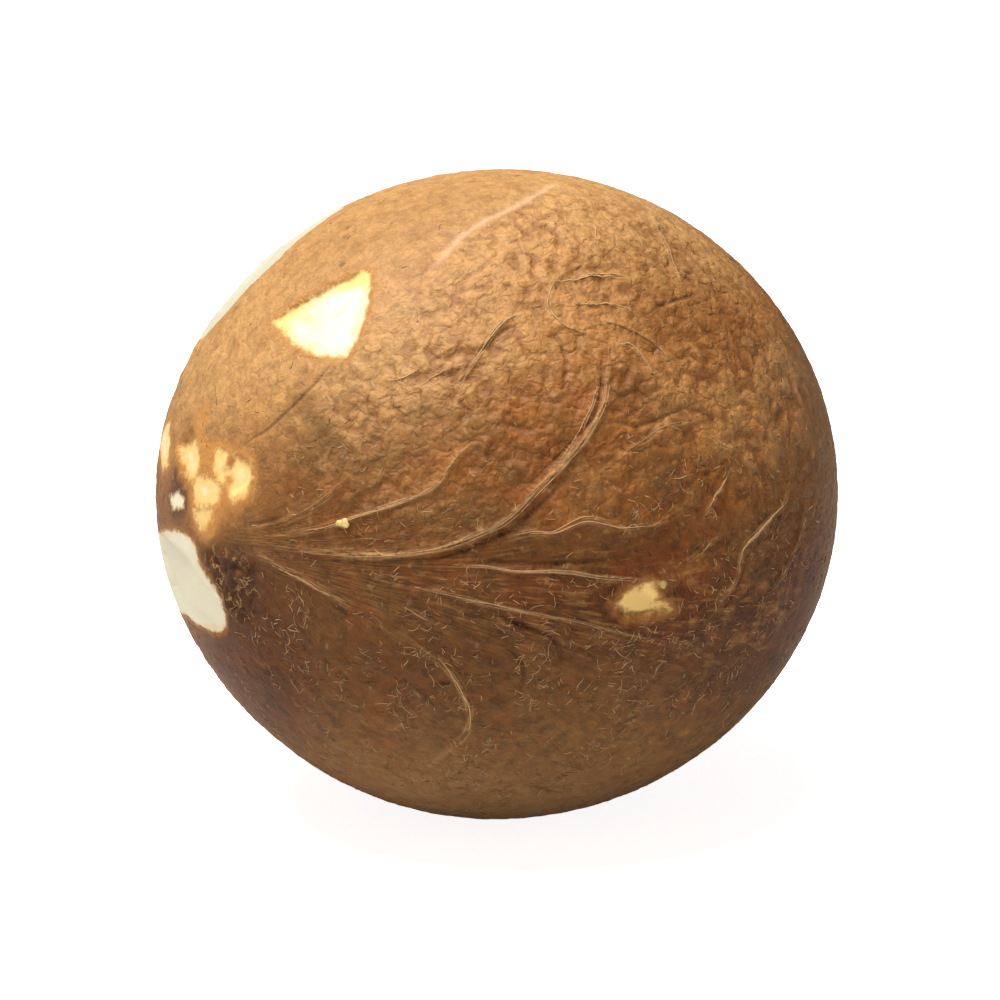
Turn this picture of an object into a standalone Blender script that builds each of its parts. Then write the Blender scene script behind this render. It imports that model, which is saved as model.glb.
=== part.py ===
"""A husked and shelled coconut: the whole round kernel with its brown skin on, lying on its side.

One solid. It is an egg-round ball whose long axis lies along X, with the eye end at -X. Low veins fan out
from the eye end along a band on the front, others leave a band on the back, and a knife has pared small
flat nicks.

Places on the kernel are given as two angles in degrees:
  along   from the eye end at -X (0) to the far end at +X (180)
  around  from the top (0) over the front at -Y (90) and the underside (180) to the back (270)
"""

import math
import random

import bmesh
import bpy
import numpy as np
from mathutils import Matrix, Vector

MM = 0.001

# Driving dimensions
LENGTH = 106.0 * MM  # eye end to far end, along X
WIDTH = 100.0 * MM  # front to back, along Y
HEIGHT = 100.0 * MM  # top to bottom, before the resting spot is flattened
RESTING_CUT = 0.7 * MM  # how much the resting spot takes off the bottom
SKIN = 0.3 * MM  # how far a pared nick goes below a flat through its corners

# Veins stand up from the skin, and creases sink into it
VEIN_HEIGHT = 0.5 * MM
BACK_VEIN_HEIGHT = 0.4 * MM
VEIN_HALF_WIDTH = 1.3 * MM
CREASE_DEPTH = 0.4 * MM
CREASE_HALF_WIDTH = 1.1 * MM
BAND_HEIGHT = 0.45 * MM  # the broad low band that the veins leave
BAND_HALF_WIDTH = 5.0 * MM
LINE_END_SHARE = 0.18  # the share of a line's length over which each of its ends sinks
LINE_END_HEIGHT = 0.25  # the share of its height that is left at the very end

# Mesh: the ball's own triangles, then those near a vein are split once or twice
BALL_SUBDIVISIONS = 5
SPLIT_REACHES = (2.4 * MM, 1.25 * MM)
ROUTE_STEPS = 12  # straight steps between two points of a route

# Broad departures from the egg shape: along, around, spread in degrees, height
SWELLS = (
    (26, 292, 20, 0.7 * MM),
    (52, 335, 10, 0.3 * MM),
    (150, 150, 24, 0.4 * MM),
    (128, 285, 26, -0.5 * MM),
    (50, 195, 16, -0.45 * MM),
)

BAND_ROUTE = ((6, 84), (30, 90), (50, 93), (65, 95), (80, 98), (95, 101), (108, 104))
BACK_BAND_ROUTE = ((44, 279), (60, 281), (80, 284), (105, 282), (125, 279), (148, 273))

VEINS = {
    "main": (
        (9, 78), (25, 84), (37, 85.5), (45, 85), (50, 84), (55, 82), (60, 79.5),
        (65, 75), (70, 71), (74, 67.5), (78, 62.5), (80, 58), (82, 53),
    ),
    "main_loop": ((82, 53), (79, 50), (76, 47.5), (75, 44), (76.5, 41), (80, 37.5), (85, 36.5)),
    "main_fork": ((82, 53), (85, 53.5), (87, 57), (87, 60)),
    "flake": ((14, 80), (24, 78.5), (32, 77), (38, 75), (46, 72.8), (50, 71), (54, 66.5), (59, 63.5)),
    "short_upper": ((12, 70), (20, 73.5), (25, 73), (29, 71), (33, 68), (36, 64.5)),
    "shoulder": ((55, 57), (58, 52), (61, 49), (65, 45.5), (68, 43.5), (71, 43)),
    "crown": ((107, 21), (105, 26), (103, 32), (101.5, 38), (100, 44)),
    "middle_right": ((98, 66), (92, 67.5), (88, 68), (84, 69.5), (80, 71), (77, 72.5)),
    "low_middle": ((59, 83.5), (63, 82.3), (67, 82.7), (72, 81), (78, 83), (84, 83), (89, 81)),
    "right": ((114, 78), (111, 83), (107, 85.3), (103, 87.5), (100, 89.3), (99, 92), (98, 95), (93, 100.5)),
    "lower_fan": ((14, 86), (20, 90), (26.5, 94.5), (30.5, 97), (33.5, 98.5), (37, 101)),
    "lower_arc": ((40, 103), (49, 108), (53, 112), (55.5, 116), (57, 120), (57.8, 126), (56, 139)),
    "far_end": ((153, 40), (155, 58), (160, 74), (158, 100), (153, 120)),
}

CREASES = {
    "beside_main": ((80.5, 54), (78.5, 59), (76.5, 63.5), (73, 66.3), (69, 68)),
    "left_shoulder": ((19, 30), (23.5, 34), (26, 36), (30, 36.3), (34, 36), (38, 35), (42, 33)),
    "below_band": ((56, 96.5), (59, 97.5), (62, 99), (65, 100.3), (67.5, 102), (68.7, 105), (69.2, 109)),
    "below_band_small": ((60, 104), (62, 105.5), (63.3, 108.5), (64, 113)),
    "crown_cross": ((93, 47), (97, 46), (103, 44.5)),
    "left_of_eye": ((15, 71), (19, 71.8), (23, 71.5)),
}

# Side veins of the back, by rule: how many leave each side of the back band, and how they sweep
BACK_VEIN_COUNT = 5
BACK_VEIN_SPACING = 19.0  # degrees along
BACK_VEIN_SWEEP = ((0, 1), (9, 4), (18, 11), (25, 21), (30, 33))
BACK_SEED = 7

# Nicks where a knife has pared the skin: corners round each flat cut
NICKS = {
    "shoulder": ((38, 5), (46, 11), (52, 15), (55, 19), (51, 27), (46, 33), (43, 36), (40, 27), (38, 17)),
    "eye_left": ((19, 262), (11, 256), (5, 225), (5.5, 190), (12, 203), (16, 207), (19.5, 228), (20, 250)),
    "eye_right": ((6, 188), (9, 153), (11.5, 149), (14.5, 152), (16.5, 158), (16.5, 168), (16.5, 211)),
    "band": ((76.5, 96.5), (79, 93.5), (81, 93), (83, 95), (85.5, 97.5), (81.5, 98.3), (77, 98.3)),
    "scrape_left": ((17.5, 328), (18.5, 343), (13, 351), (9.5, 338), (10, 322)),
    "scrape_right": ((14, 28), (18.5, 31), (20, 41), (18.5, 50), (14, 47)),
    "back_high": ((60, 246), (67, 241), (75, 246), (77, 256), (69, 259), (62, 255)),
    "back_low": ((102, 212), (108, 206), (116, 209), (118, 218), (110, 223), (104, 219)),
    "far_end": ((158, 300), (166, 290), (170, 240), (165, 215), (158, 235), (155, 270)),
}

# Three short strokes in a row, where the knife has taken off little more than the skin
STROKES = {
    "stroke_low": ((36, 324), (35, 337), (39, 340), (46, 344.5), (48, 332), (43, 318)),
    "stroke_middle": ((46, 318), (46.5, 344), (52, 346), (58, 346), (59, 330), (52, 322)),
    "stroke_high": ((58, 328), (57.5, 346), (64, 346), (69, 344), (69, 338), (64, 333)),
}
STROKE_RISE = 0.2 * MM  # how far a stroke stays above a flat through its corners

CUTTER_RISE = 6.0 * MM  # how thick a nick's cutter is
WELD = 0.001 * MM  # points of a cutter nearer than this are one
SHARP_ANGLE = 35.0  # edges that turn more than this many degrees are drawn sharp

SKIN_COLOUR = (0.29, 0.13, 0.05, 1.0)
SKIN_ROUGHNESS = 0.6


def clear_scene():
    for obj in list(bpy.data.objects):
        bpy.data.objects.remove(obj, do_unlink=True)


def make_collection(name, parent):
    collection = bpy.data.collections.new(name)
    parent.children.link(collection)
    return collection


def directions(places):
    """Unit vectors from the kernel's middle towards places given as (along, around)."""
    along, around = np.radians(np.asarray(places, float)).T
    return np.column_stack([-np.cos(along), -np.sin(along) * np.sin(around), np.sin(along) * np.cos(around)])


def half_sizes():
    return np.array([LENGTH, WIDTH, HEIGHT]) / 2


def route_directions(places):
    """Unit vectors along a smooth curve through a route's places (Catmull-Rom, then back onto the ball)."""
    ends = directions(places)
    points = np.vstack([2 * ends[0] - ends[1], ends, 2 * ends[-1] - ends[-2]])
    t = np.linspace(0, 1, ROUTE_STEPS, endpoint=False)[:, None]
    spans = [
        0.5 * (2 * b + (c - a) * t + (2 * a - 5 * b + 4 * c - d) * t**2 + (3 * b - a - 3 * c + d) * t**3)
        for a, b, c, d in zip(points, points[1:], points[2:], points[3:])
    ]
    curve = np.vstack(spans + [ends[-1:]])
    return curve / np.linalg.norm(curve, axis=1, keepdims=True)


def back_veins():
    """Routes of the side veins that leave the back band by turns on each side, each a little different."""
    draw = random.Random(BACK_SEED)
    band = np.array(BACK_BAND_ROUTE, float).T
    routes = []
    for k in range(2 * BACK_VEIN_COUNT):
        side = 1 if k % 2 else -1
        start = band[0, 0] + BACK_VEIN_SPACING * k / 2 + draw.uniform(-3, 3)
        spread = side * draw.uniform(0.8, 1.25)
        middle = np.interp(start, *band)
        routes.append([(start + ahead, middle + spread * out) for ahead, out in BACK_VEIN_SWEEP])
    return routes


def reach_of(points, route):
    """How far each point is from a route over the ball, and how much of the line's height is left there."""
    curve = route_directions(route)
    closeness = points @ curve.T
    nearest = closeness.argmax(axis=1)
    distance = np.arccos(np.clip(closeness.max(axis=1), -1, 1)) * WIDTH / 2
    from_end = np.minimum(nearest, len(curve) - 1 - nearest) / len(curve)
    return distance, np.clip(from_end / LINE_END_SHARE, LINE_END_HEIGHT, 1)


def line_relief(points, routes, height, half_width):
    """A round-backed line along each route: the highest of them at each point."""
    relief = np.zeros(len(points))
    for route in routes:
        distance, fade = reach_of(points, route)
        relief = np.maximum(relief, height * fade * np.exp(-((distance / half_width) ** 2)))
    return relief


def swell(points):
    """The broad soft rises and flats that keep the ball from being a true egg."""
    total = np.zeros(len(points))
    for along, around, spread, height in SWELLS:
        angle = np.degrees(np.arccos(np.clip(points @ directions([(along, around)])[0], -1, 1)))
        total += height * np.exp(-0.5 * (angle / spread) ** 2)
    return total


def raised_points(points):
    """Where each direction meets the skin: the egg shape, pushed out or in by every relief."""
    base = points * half_sizes()
    relief = swell(points)
    relief += line_relief(points, (BAND_ROUTE, BACK_BAND_ROUTE), BAND_HEIGHT, BAND_HALF_WIDTH)
    relief += line_relief(points, VEINS.values(), VEIN_HEIGHT, VEIN_HALF_WIDTH)
    relief += line_relief(points, back_veins(), BACK_VEIN_HEIGHT, VEIN_HALF_WIDTH)
    relief -= line_relief(points, CREASES.values(), CREASE_DEPTH, CREASE_HALF_WIDTH)
    outward = points / half_sizes()
    outward /= np.linalg.norm(outward, axis=1, keepdims=True)
    return base + outward * relief[:, None]


def split_near_lines(ball, reach):
    """Splits the ball's edges that lie near a vein or a crease, so that the line has points to rise on."""
    edges = list(ball.edges)
    middles = np.array([(edge.verts[0].co + edge.verts[1].co).normalized() for edge in edges])
    near = np.zeros(len(edges), bool)
    for route in list(VEINS.values()) + list(CREASES.values()) + back_veins():
        near |= reach_of(middles, route)[0] < reach
    chosen = [edge for edge, picked in zip(edges, near) if picked]
    bmesh.ops.subdivide_edges(ball, edges=chosen, cuts=1, use_grid_fill=True)
    bmesh.ops.triangulate(ball, faces=[face for face in ball.faces if len(face.verts) > 3])


def make_kernel(collection):
    """The kernel as one mesh, before the flat cuts, standing with its middle at the origin."""
    ball = bmesh.new()
    bmesh.ops.create_icosphere(ball, subdivisions=BALL_SUBDIVISIONS, radius=1.0)
    for reach in SPLIT_REACHES:
        split_near_lines(ball, reach)
    points = np.array([vert.co.normalized() for vert in ball.verts])
    for vert, place in zip(ball.verts, raised_points(points)):
        vert.co = place
    mesh = bpy.data.meshes.new("coconut")
    ball.to_mesh(mesh)
    ball.free()
    mesh.materials.append(skin_material())
    kernel = bpy.data.objects.new("coconut", mesh)
    collection.objects.link(kernel)
    return kernel


def skin_material():
    material = bpy.data.materials.new("coconut_skin")
    material.use_nodes = True
    shader = material.node_tree.nodes["Principled BSDF"]
    shader.inputs["Base Color"].default_value = SKIN_COLOUR
    shader.inputs["Roughness"].default_value = SKIN_ROUGHNESS
    shader.inputs["Metallic"].default_value = 0.0
    return material


def hide_cutter(cutter):
    cutter.hide_render = True
    cutter.display_type = "WIRE"


def flat_prism(name, corners, thickness, collection):
    """A closed mesh of the given thickness over a flat outline, half of it to each side of the plane z = 0."""
    curve = bpy.data.curves.new(name, "CURVE")
    curve.dimensions = "2D"
    curve.fill_mode = "BOTH"
    curve.extrude = thickness / 2
    spline = curve.splines.new("POLY")
    spline.points.add(len(corners) - 1)
    for point, (x, y) in zip(spline.points, corners):
        point.co = (x, y, 0, 1)
    spline.use_cyclic_u = True
    outline = bpy.data.objects.new(name, curve)
    collection.objects.link(outline)
    graph = bpy.context.evaluated_depsgraph_get()
    mesh = bpy.data.meshes.new_from_object(outline.evaluated_get(graph))
    bpy.data.objects.remove(outline)

    prism = bmesh.new()
    prism.from_mesh(mesh)
    bmesh.ops.remove_doubles(prism, verts=prism.verts, dist=WELD)
    bmesh.ops.recalc_face_normals(prism, faces=prism.faces)
    prism.to_mesh(mesh)
    prism.free()
    return mesh


def make_nick_cutter(name, corners, depth, collection):
    """A prism over a nick's corners. Its flat underside lies depth below the plane that best fits them."""
    places = directions(corners) * half_sizes()
    middle = places.mean(axis=0)
    normal = Vector(np.linalg.svd(places - middle)[2][2])
    if normal.dot(Vector(middle)) < 0:
        normal.negate()
    turn = normal.to_track_quat("Z", "Y").to_matrix()
    flat = ((places - middle) @ np.array(turn))[:, :2]
    cutter = bpy.data.objects.new(name + "_cutter", flat_prism(name, flat, CUTTER_RISE, collection))
    lift = CUTTER_RISE / 2 - depth
    cutter.matrix_world = Matrix.Translation(Vector(middle) + normal * lift) @ turn.to_4x4()
    collection.objects.link(cutter)
    hide_cutter(cutter)
    return cutter


def make_resting_cutter(collection):
    """A block that takes the lowest sliver off the kernel, so that it lies on a small flat spot."""
    bpy.ops.mesh.primitive_cube_add(size=1.0)
    block = bpy.context.object
    block.name = "resting_cutter"
    block.scale = (LENGTH, WIDTH, HEIGHT / 4)
    block.location = (0, 0, RESTING_CUT - HEIGHT / 2 - HEIGHT / 8)
    for held in list(block.users_collection):
        held.objects.unlink(block)
    collection.objects.link(block)
    hide_cutter(block)
    return block


def cut(kernel, cutters):
    """Takes each cutter out of the kernel and keeps the result as the kernel's own mesh."""
    for cutter in cutters:
        boolean = kernel.modifiers.new(cutter.name, "BOOLEAN")
        boolean.operation = "DIFFERENCE"
        boolean.object = cutter
    bpy.context.view_layer.update()
    graph = bpy.context.evaluated_depsgraph_get()
    mesh = bpy.data.meshes.new_from_object(kernel.evaluated_get(graph))
    kernel.modifiers.clear()
    kernel.data = mesh
    for cutter in cutters:
        bpy.data.objects.remove(cutter)


def stand_on_origin(kernel):
    """Moves the mesh so that the middle of its underside is the origin."""
    corners = np.array([vert.co for vert in kernel.data.vertices])
    low, high = corners.min(axis=0), corners.max(axis=0)
    middle = (low + high) / 2
    kernel.data.transform(Matrix.Translation((-middle[0], -middle[1], -low[2])))
    kernel.data.shade_smooth()
    kernel.data.set_sharp_from_angle(angle=math.radians(SHARP_ANGLE))


def main():
    clear_scene()
    root = bpy.context.scene.collection
    parts = make_collection("husked_coconut", root)
    helpers = make_collection("cutters", root)
    kernel = make_kernel(parts)
    cutters = [make_nick_cutter(name, corners, SKIN, helpers) for name, corners in NICKS.items()]
    cutters += [make_nick_cutter(name, corners, -STROKE_RISE, helpers) for name, corners in STROKES.items()]
    cutters.append(make_resting_cutter(helpers))
    cut(kernel, cutters)
    stand_on_origin(kernel)


main()
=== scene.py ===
"""Finishes a husked and shelled coconut: a round kernel in its brown skin, with veins, fibres and pared nicks.

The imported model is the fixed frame. One skin mesh stands for its solid, with the same swells, veins, creases and
nicks at a finer grain. Strands, loose fibres and a crumb lie on it.

Lengths are in millimetres until a mesh is made. Places on the kernel are two angles in degrees:
  along   from the eye end at -X (0) to the far end at +X (180)
  around  from the top (0) over the front at -Y (90) and the underside (180) to the back (270)
"""

import itertools
import logging
import math
import random
from collections.abc import Callable
from dataclasses import dataclass, field
from enum import Enum

import bpy
import numpy as np
from bpy.types import ID, Material, Node, NodeSocket, NodeTree, Object
from mathutils import Matrix, Vector


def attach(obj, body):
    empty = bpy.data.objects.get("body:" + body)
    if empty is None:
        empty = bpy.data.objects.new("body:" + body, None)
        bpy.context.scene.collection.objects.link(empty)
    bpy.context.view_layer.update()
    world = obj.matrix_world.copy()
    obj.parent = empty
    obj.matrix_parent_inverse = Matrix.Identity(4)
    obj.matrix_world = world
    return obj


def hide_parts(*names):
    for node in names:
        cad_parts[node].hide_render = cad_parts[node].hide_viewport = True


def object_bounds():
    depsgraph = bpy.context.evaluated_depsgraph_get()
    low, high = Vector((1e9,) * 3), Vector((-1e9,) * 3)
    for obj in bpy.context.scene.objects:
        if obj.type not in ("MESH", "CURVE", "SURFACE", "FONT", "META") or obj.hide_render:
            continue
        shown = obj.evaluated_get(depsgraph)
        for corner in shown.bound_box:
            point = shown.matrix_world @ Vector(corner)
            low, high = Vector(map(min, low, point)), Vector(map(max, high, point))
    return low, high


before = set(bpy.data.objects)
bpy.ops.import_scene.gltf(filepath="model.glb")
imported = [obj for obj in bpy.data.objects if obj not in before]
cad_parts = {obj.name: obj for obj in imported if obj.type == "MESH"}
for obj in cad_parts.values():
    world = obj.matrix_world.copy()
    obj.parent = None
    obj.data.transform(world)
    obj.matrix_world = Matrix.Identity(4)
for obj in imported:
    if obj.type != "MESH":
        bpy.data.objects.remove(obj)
CAD_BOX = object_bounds()

log = logging.getLogger("husked_coconut")

Array = np.ndarray
Place = tuple[float, float]
Colour = tuple[float, float, float]

MM = 0.001
FAR = 9.0
NODE = "coconut"


# Arithmetic on arrays of places


def directions(places: object) -> Array:
    """Unit vectors from the kernel's middle towards (along, around) places: polar angles about the X axis."""
    along, around = np.radians(np.asarray(places, float)).reshape(-1, 2).T
    return np.column_stack([-np.cos(along), -np.sin(along) * np.sin(around), np.sin(along) * np.cos(around)])


def places_of(points: Array) -> tuple[Array, Array]:
    """The two angles of each direction, in degrees: the inverse of directions.

    Args:
        points: unit vectors.

    Returns:
        Along and around, one number each for each direction.
    """
    along = np.degrees(np.arccos(np.clip(-points[:, 0], -1, 1)))
    around = np.degrees(np.arctan2(-points[:, 1], points[:, 2])) % 360
    return along, around


def unit(vectors: Array) -> Array:
    """Each row divided by its length."""
    return vectors / np.linalg.norm(vectors, axis=-1, keepdims=True)


def smoothstep(low: float, high: float, value: Array) -> Array:
    """0 below low, 1 above high, and 3t^2 - 2t^3 between them."""
    t = np.clip((value - low) / (high - low), 0, 1)
    return t * t * (3 - 2 * t)


def bell(ratio: Array) -> Array:
    """1 in the middle, a third at 1 and next to nothing at 2: e to the power of minus the square."""
    return np.exp(-(ratio**2))


def smooth_curve(places: tuple[Place, ...], steps: int, closed: bool = False) -> Array:
    """Unit vectors along a Catmull-Rom curve through places, pulled back onto the ball.

    Args:
        places: what it passes, in order.
        steps: points for each stretch between two of them.
        closed: whether it comes back to its start.

    Returns:
        One unit vector for each point.
    """
    ends = directions(places)
    if closed:
        ends = np.vstack([ends, ends[:1]])
        points = np.vstack([ends[-2], ends, ends[1]])
    else:
        points = np.vstack([2 * ends[0] - ends[1], ends, 2 * ends[-1] - ends[-2]])
    t = np.linspace(0, 1, steps, endpoint=False)[:, None]
    spans = [
        0.5 * (2 * b + (c - a) * t + (2 * a - 5 * b + 4 * c - d) * t**2 + (3 * b - a - 3 * c + d) * t**3)
        for a, b, c, d in zip(points, points[1:], points[2:], points[3:])
    ]
    return unit(np.vstack(spans + [ends[-1:]]))


def rounded(corners: tuple[Place, ...], steps: int = 4) -> tuple[Place, ...]:
    """An outline with its straight sides bowed into one smooth closed curve through its corners."""
    along, around = places_of(smooth_curve(corners, steps, closed=True)[:-1])
    return tuple(zip(along, around))


@dataclass(frozen=True)
class Noise:
    """Repeatable noise over space, from a table of numbers drawn once from a seed."""

    seed: int

    def _tables(self) -> tuple[Array, Array]:
        """A shuffled list of 256 numbers, and a vector in the unit cube for each."""
        draw = np.random.default_rng(self.seed)
        return draw.permutation(256), draw.uniform(-1, 1, (256, 3))

    @staticmethod
    def _pick(order: Array, cell: Array) -> Array:
        """One number from 0 to 255 for each whole-numbered cell."""
        i, j, k = (cell & 255).T
        return order[(order[(order[i] + j) & 255] + k) & 255]

    def soft(self, points: Array) -> Array:
        """Gradient noise, about -1 to 1: slopes at the corners of unit cells, blended by a smooth curve.

        Args:
            points: places, in waves.

        Returns:
            One number for each place.
        """
        order, slopes = self._tables()
        cell = np.floor(points).astype(int)
        inside = points - cell
        blend = inside**3 * (inside * (inside * 6 - 15) + 10)
        total = np.zeros(len(points))
        for corner in itertools.product((0, 1), repeat=3):
            share = np.where(corner, blend, 1 - blend).prod(axis=1)
            slope = slopes[self._pick(order, cell + corner)]
            total += share * ((inside - corner) * slope).sum(axis=1)
        return 1.5 * total

    def layered(self, points: Array, layers: int) -> Array:
        """Soft noise added to itself at twice the fineness and half the height, layers times."""
        return sum(self.soft(points * 2**k + 7.3 * k) / 2**k for k in range(layers))

    def ridged(self, points: Array, layers: int) -> Array:
        """Sharp crests, 0 to 1: one less twice the size of soft noise, at each fineness."""
        crests = sum((1 - np.minimum(1, 2 * np.abs(self.soft(points * 2**k + 3.1 * k)))) / 2**k for k in range(layers))
        return crests / sum(1 / 2**k for k in range(layers))

    def cells(self, points: Array) -> Array:
        """How much nearer each point is to one of a scatter than to the next: 0 in the dips between cells.

        Args:
            points: places, in cells.

        Returns:
            One number for each place, about 0 to 1.
        """
        order, jitter = self._tables()
        cell = np.floor(points).astype(int)
        nearest = second = np.full(len(points), FAR)
        for step in itertools.product((-1, 0, 1), repeat=3):
            there = cell + step
            centre = there + 0.5 + 0.45 * jitter[self._pick(order, there)]
            distance = np.linalg.norm(points - centre, axis=1)
            second = np.minimum(second, np.maximum(nearest, distance))
            nearest = np.minimum(nearest, distance)
        return second - nearest


# What marks the kernel


@dataclass(frozen=True)
class Blob:
    """A soft round patch of some quality: its place, its spread in degrees, and how strong it is."""

    along: float
    around: float
    spread: float
    amount: float


def blobs(*rows: tuple[float, float, float, float]) -> tuple[Blob, ...]:
    """A blob for each row of its four numbers."""
    return tuple(Blob(*row) for row in rows)


def blob_field(points: Array, marks: tuple[Blob, ...]) -> Array:
    """The sum of blobs at each direction: each falls off as a bell curve of the angle from its middle.

    Args:
        points: unit vectors from the kernel's middle.
        marks: the blobs.

    Returns:
        One number for each point.
    """
    total = np.zeros(len(points))
    for blob in marks:
        angle = np.degrees(np.arccos(np.clip(points @ directions([(blob.along, blob.around)])[0], -1, 1)))
        total += blob.amount * np.exp(-0.5 * (angle / blob.spread) ** 2)
    return total


def soft_field(points: Array, marks: tuple[Blob, ...]) -> Array:
    """The sum of blobs, kept from 0 to 1."""
    return np.clip(blob_field(points, marks), 0, 1)


class Layer(Enum):
    """Two sheets of lines, so that lines that meet can each keep their own measure across."""

    FIRST = "line_first"
    SECOND = "line_second"


@dataclass(frozen=True)
class Line:
    """A vein or a crease.

    Args:
        route: the places it passes, in order.
        half_width: from its middle to where it has fallen to a third of its height.
        height: how far it stands up, or sinks if below zero.
        shade: how much paler it is, or darker if below zero, up to 1; a crease's darkness is painted shade in it.
        strands: how many thin strands run along it.
        layer: the sheet of lines that it is drawn on.
    """

    route: tuple[Place, ...]
    half_width: float
    height: float
    shade: float
    strands: int = 0
    layer: Layer = Layer.FIRST


@dataclass(frozen=True)
class Nick:
    """A flat pared place, as a cut.

    Args:
        corners: places round it.
        depth: how far the flat lies below a plane through the corners.
        ragged: how far its edge wanders.
    """

    corners: tuple[Place, ...]
    depth: float = 0.3
    ragged: float = 0.4


@dataclass(frozen=True)
class Patch:
    """A place with the brown skin off, as a colour.

    Args:
        corners: places round it.
        white: 1 for bare white flesh, 0 for the golden layer under the skin.
        soft: how many millimetres its edge takes to fade.
        rim: 1 for an orange edge, 0 for a dark brown one.
        light: how light its colour is, 1 for the full colour; below 1 partly the flesh's own tone, partly painted
            shade.
    """

    corners: tuple[Place, ...]
    white: float
    soft: float = 0.4
    rim: float = 1.0
    light: float = 1.0


BAND = ((6, 84), (30, 90), (50, 93), (65, 95), (80, 98), (95, 101), (108, 104))
BACK_BAND = ((44, 279), (60, 281), (80, 284), (105, 282), (125, 279), (148, 273))
SWELLS = blobs((26, 292, 20, 0.7), (52, 335, 10, 0.3), (150, 150, 24, 0.4), (128, 285, 26, -0.5), (50, 195, 16, -0.45))
VEINS = {
    "main": Line(
        ((9, 78), (25, 84), (37, 85.5), (45, 85), (50, 84), (55, 82), (60, 79.5),
         (65, 75), (70, 71), (74, 67.5), (78, 62.5), (80, 58), (82, 53)),
        0.6, 0.5, 0.85, 4,
    ),
    "main_loop": Line(
        ((82, 53), (79, 50), (76, 47.5), (75, 44), (76.5, 41), (80, 37.5), (85, 36.5)), 0.55, 0.35, 0.6, 2
    ),
    "main_fork": Line(((82, 53), (85, 53.5), (87, 57), (87, 60)), 0.45, 0.3, 0.6, 2, Layer.SECOND),
    "flake": Line(
        ((14, 80), (24, 78.5), (32, 77), (38, 75), (46, 72.8), (50, 71), (54, 66.5), (59, 63.5)), 0.55, 0.35, 0.6, 2
    ),
    "short_upper": Line(((12, 70), (20, 73.5), (25, 73), (29, 71), (33, 68), (36, 64.5)), 0.6, 0.35, 0.45, 2),
    "shoulder": Line(((55, 57), (58, 52), (61, 49), (65, 45.5), (68, 43.5), (71, 43)), 0.6, 0.4, 0.8, 2),
    "shoulder_low": Line(((50.9, 49.9), (55.4, 48.8), (60, 49.4)), 0.4, 0.2, 0.5, 1),
    "net_long": Line(((47.2, 45.2), (50.1, 46.9), (54.7, 45.5)), 0.35, 0.2, 0.6, 1),
    "net_short": Line(((50.1, 46.9), (49.6, 48.8), (49.1, 50.4)), 0.35, 0.2, 0.5, 1, Layer.SECOND),
    "crown": Line(((107, 21), (105, 26), (103, 32), (101.5, 38), (100, 44)), 0.45, 0.3, 0.6, 1),
    "middle_right": Line(((98, 66), (92, 67.5), (88, 68), (84, 69.5), (80, 71), (77, 72.5)), 0.7, 0.3, 0.3, 1),
    "low_middle": Line(
        ((59, 83.5), (63, 82.3), (67, 82.7), (72, 81), (78, 83), (84, 83), (89, 81)), 0.7, 0.35, 0.5, 2, Layer.SECOND
    ),
    "right": Line(
        ((114, 78), (111, 83), (107, 85.3), (103, 87.5), (100, 89.3), (99, 92), (98, 95), (93, 100.5)),
        0.55, 0.4, 0.7, 3,
    ),
    "lower_fan": Line(((14, 86), (20, 90), (26.5, 94.5), (30.5, 97), (33.5, 98.5), (37, 101)), 0.7, 0.35, 0.6, 2),
    "lower_arc": Line(
        ((40, 103), (49, 108), (53, 112), (55.5, 116), (57, 120), (57.8, 126), (56, 139)), 0.8, 0.35, 0.5, 2
    ),
    "far_end": Line(((153, 40), (155, 58), (160, 74), (158, 100), (153, 120)), 1.0, 0.45, 0.5, 3),
    "main_twin": Line(
        ((68, 72.5), (70, 70), (73.5, 66), (76, 62.5), (78, 59), (79.5, 55.5)), 0.4, 0.2, 0.7, 2, Layer.SECOND
    ),
    "crown_left": Line(((92, 27), (90, 31), (88, 33.5)), 0.5, 0.25, 0.5, 1),
    "loop_fan_upper": Line(((78, 39), (83, 39.5), (88, 40), (93, 42)), 0.5, 0.25, 0.5, 2, Layer.SECOND),
    "loop_fan_middle": Line(((77, 44), (81, 44.5), (86, 46), (91, 50)), 0.5, 0.3, 0.5, 2),
    "loop_fan_lower": Line(((79, 48.5), (84, 49), (89, 53), (92, 58)), 0.5, 0.25, 0.4, 1),
    "right_upper": Line(((91, 84), (94, 81), (97, 78), (98.5, 75)), 0.5, 0.25, 0.5, 2),
    "right_lower": Line(((90, 89.5), (92.5, 88), (95.5, 86.5)), 0.5, 0.25, 0.5, 1),
    "right_far": Line(((119, 84), (116, 89), (112, 95), (108, 99)), 0.6, 0.3, 0.4, 2),
    "band_top": Line(
        ((48, 87.5), (56, 88), (61, 89), (68, 89.5), (75, 91), (85, 92.5)), 0.4, 0.25, 0.5, 3, Layer.SECOND
    ),
    "band_low": Line(((42, 92), (52, 94), (62, 96.5), (74, 99.5), (90, 105)), 0.5, 0.25, 0.3, 4, Layer.SECOND),
    "lower_small": Line(((43.5, 97), (46, 98.5), (48, 100)), 0.4, 0.2, 0.5, 1, Layer.SECOND),
    "star": Line(((95, 70), (97, 72), (100, 73)), 0.4, 0.25, 0.7, 1, Layer.SECOND),
}
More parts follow.
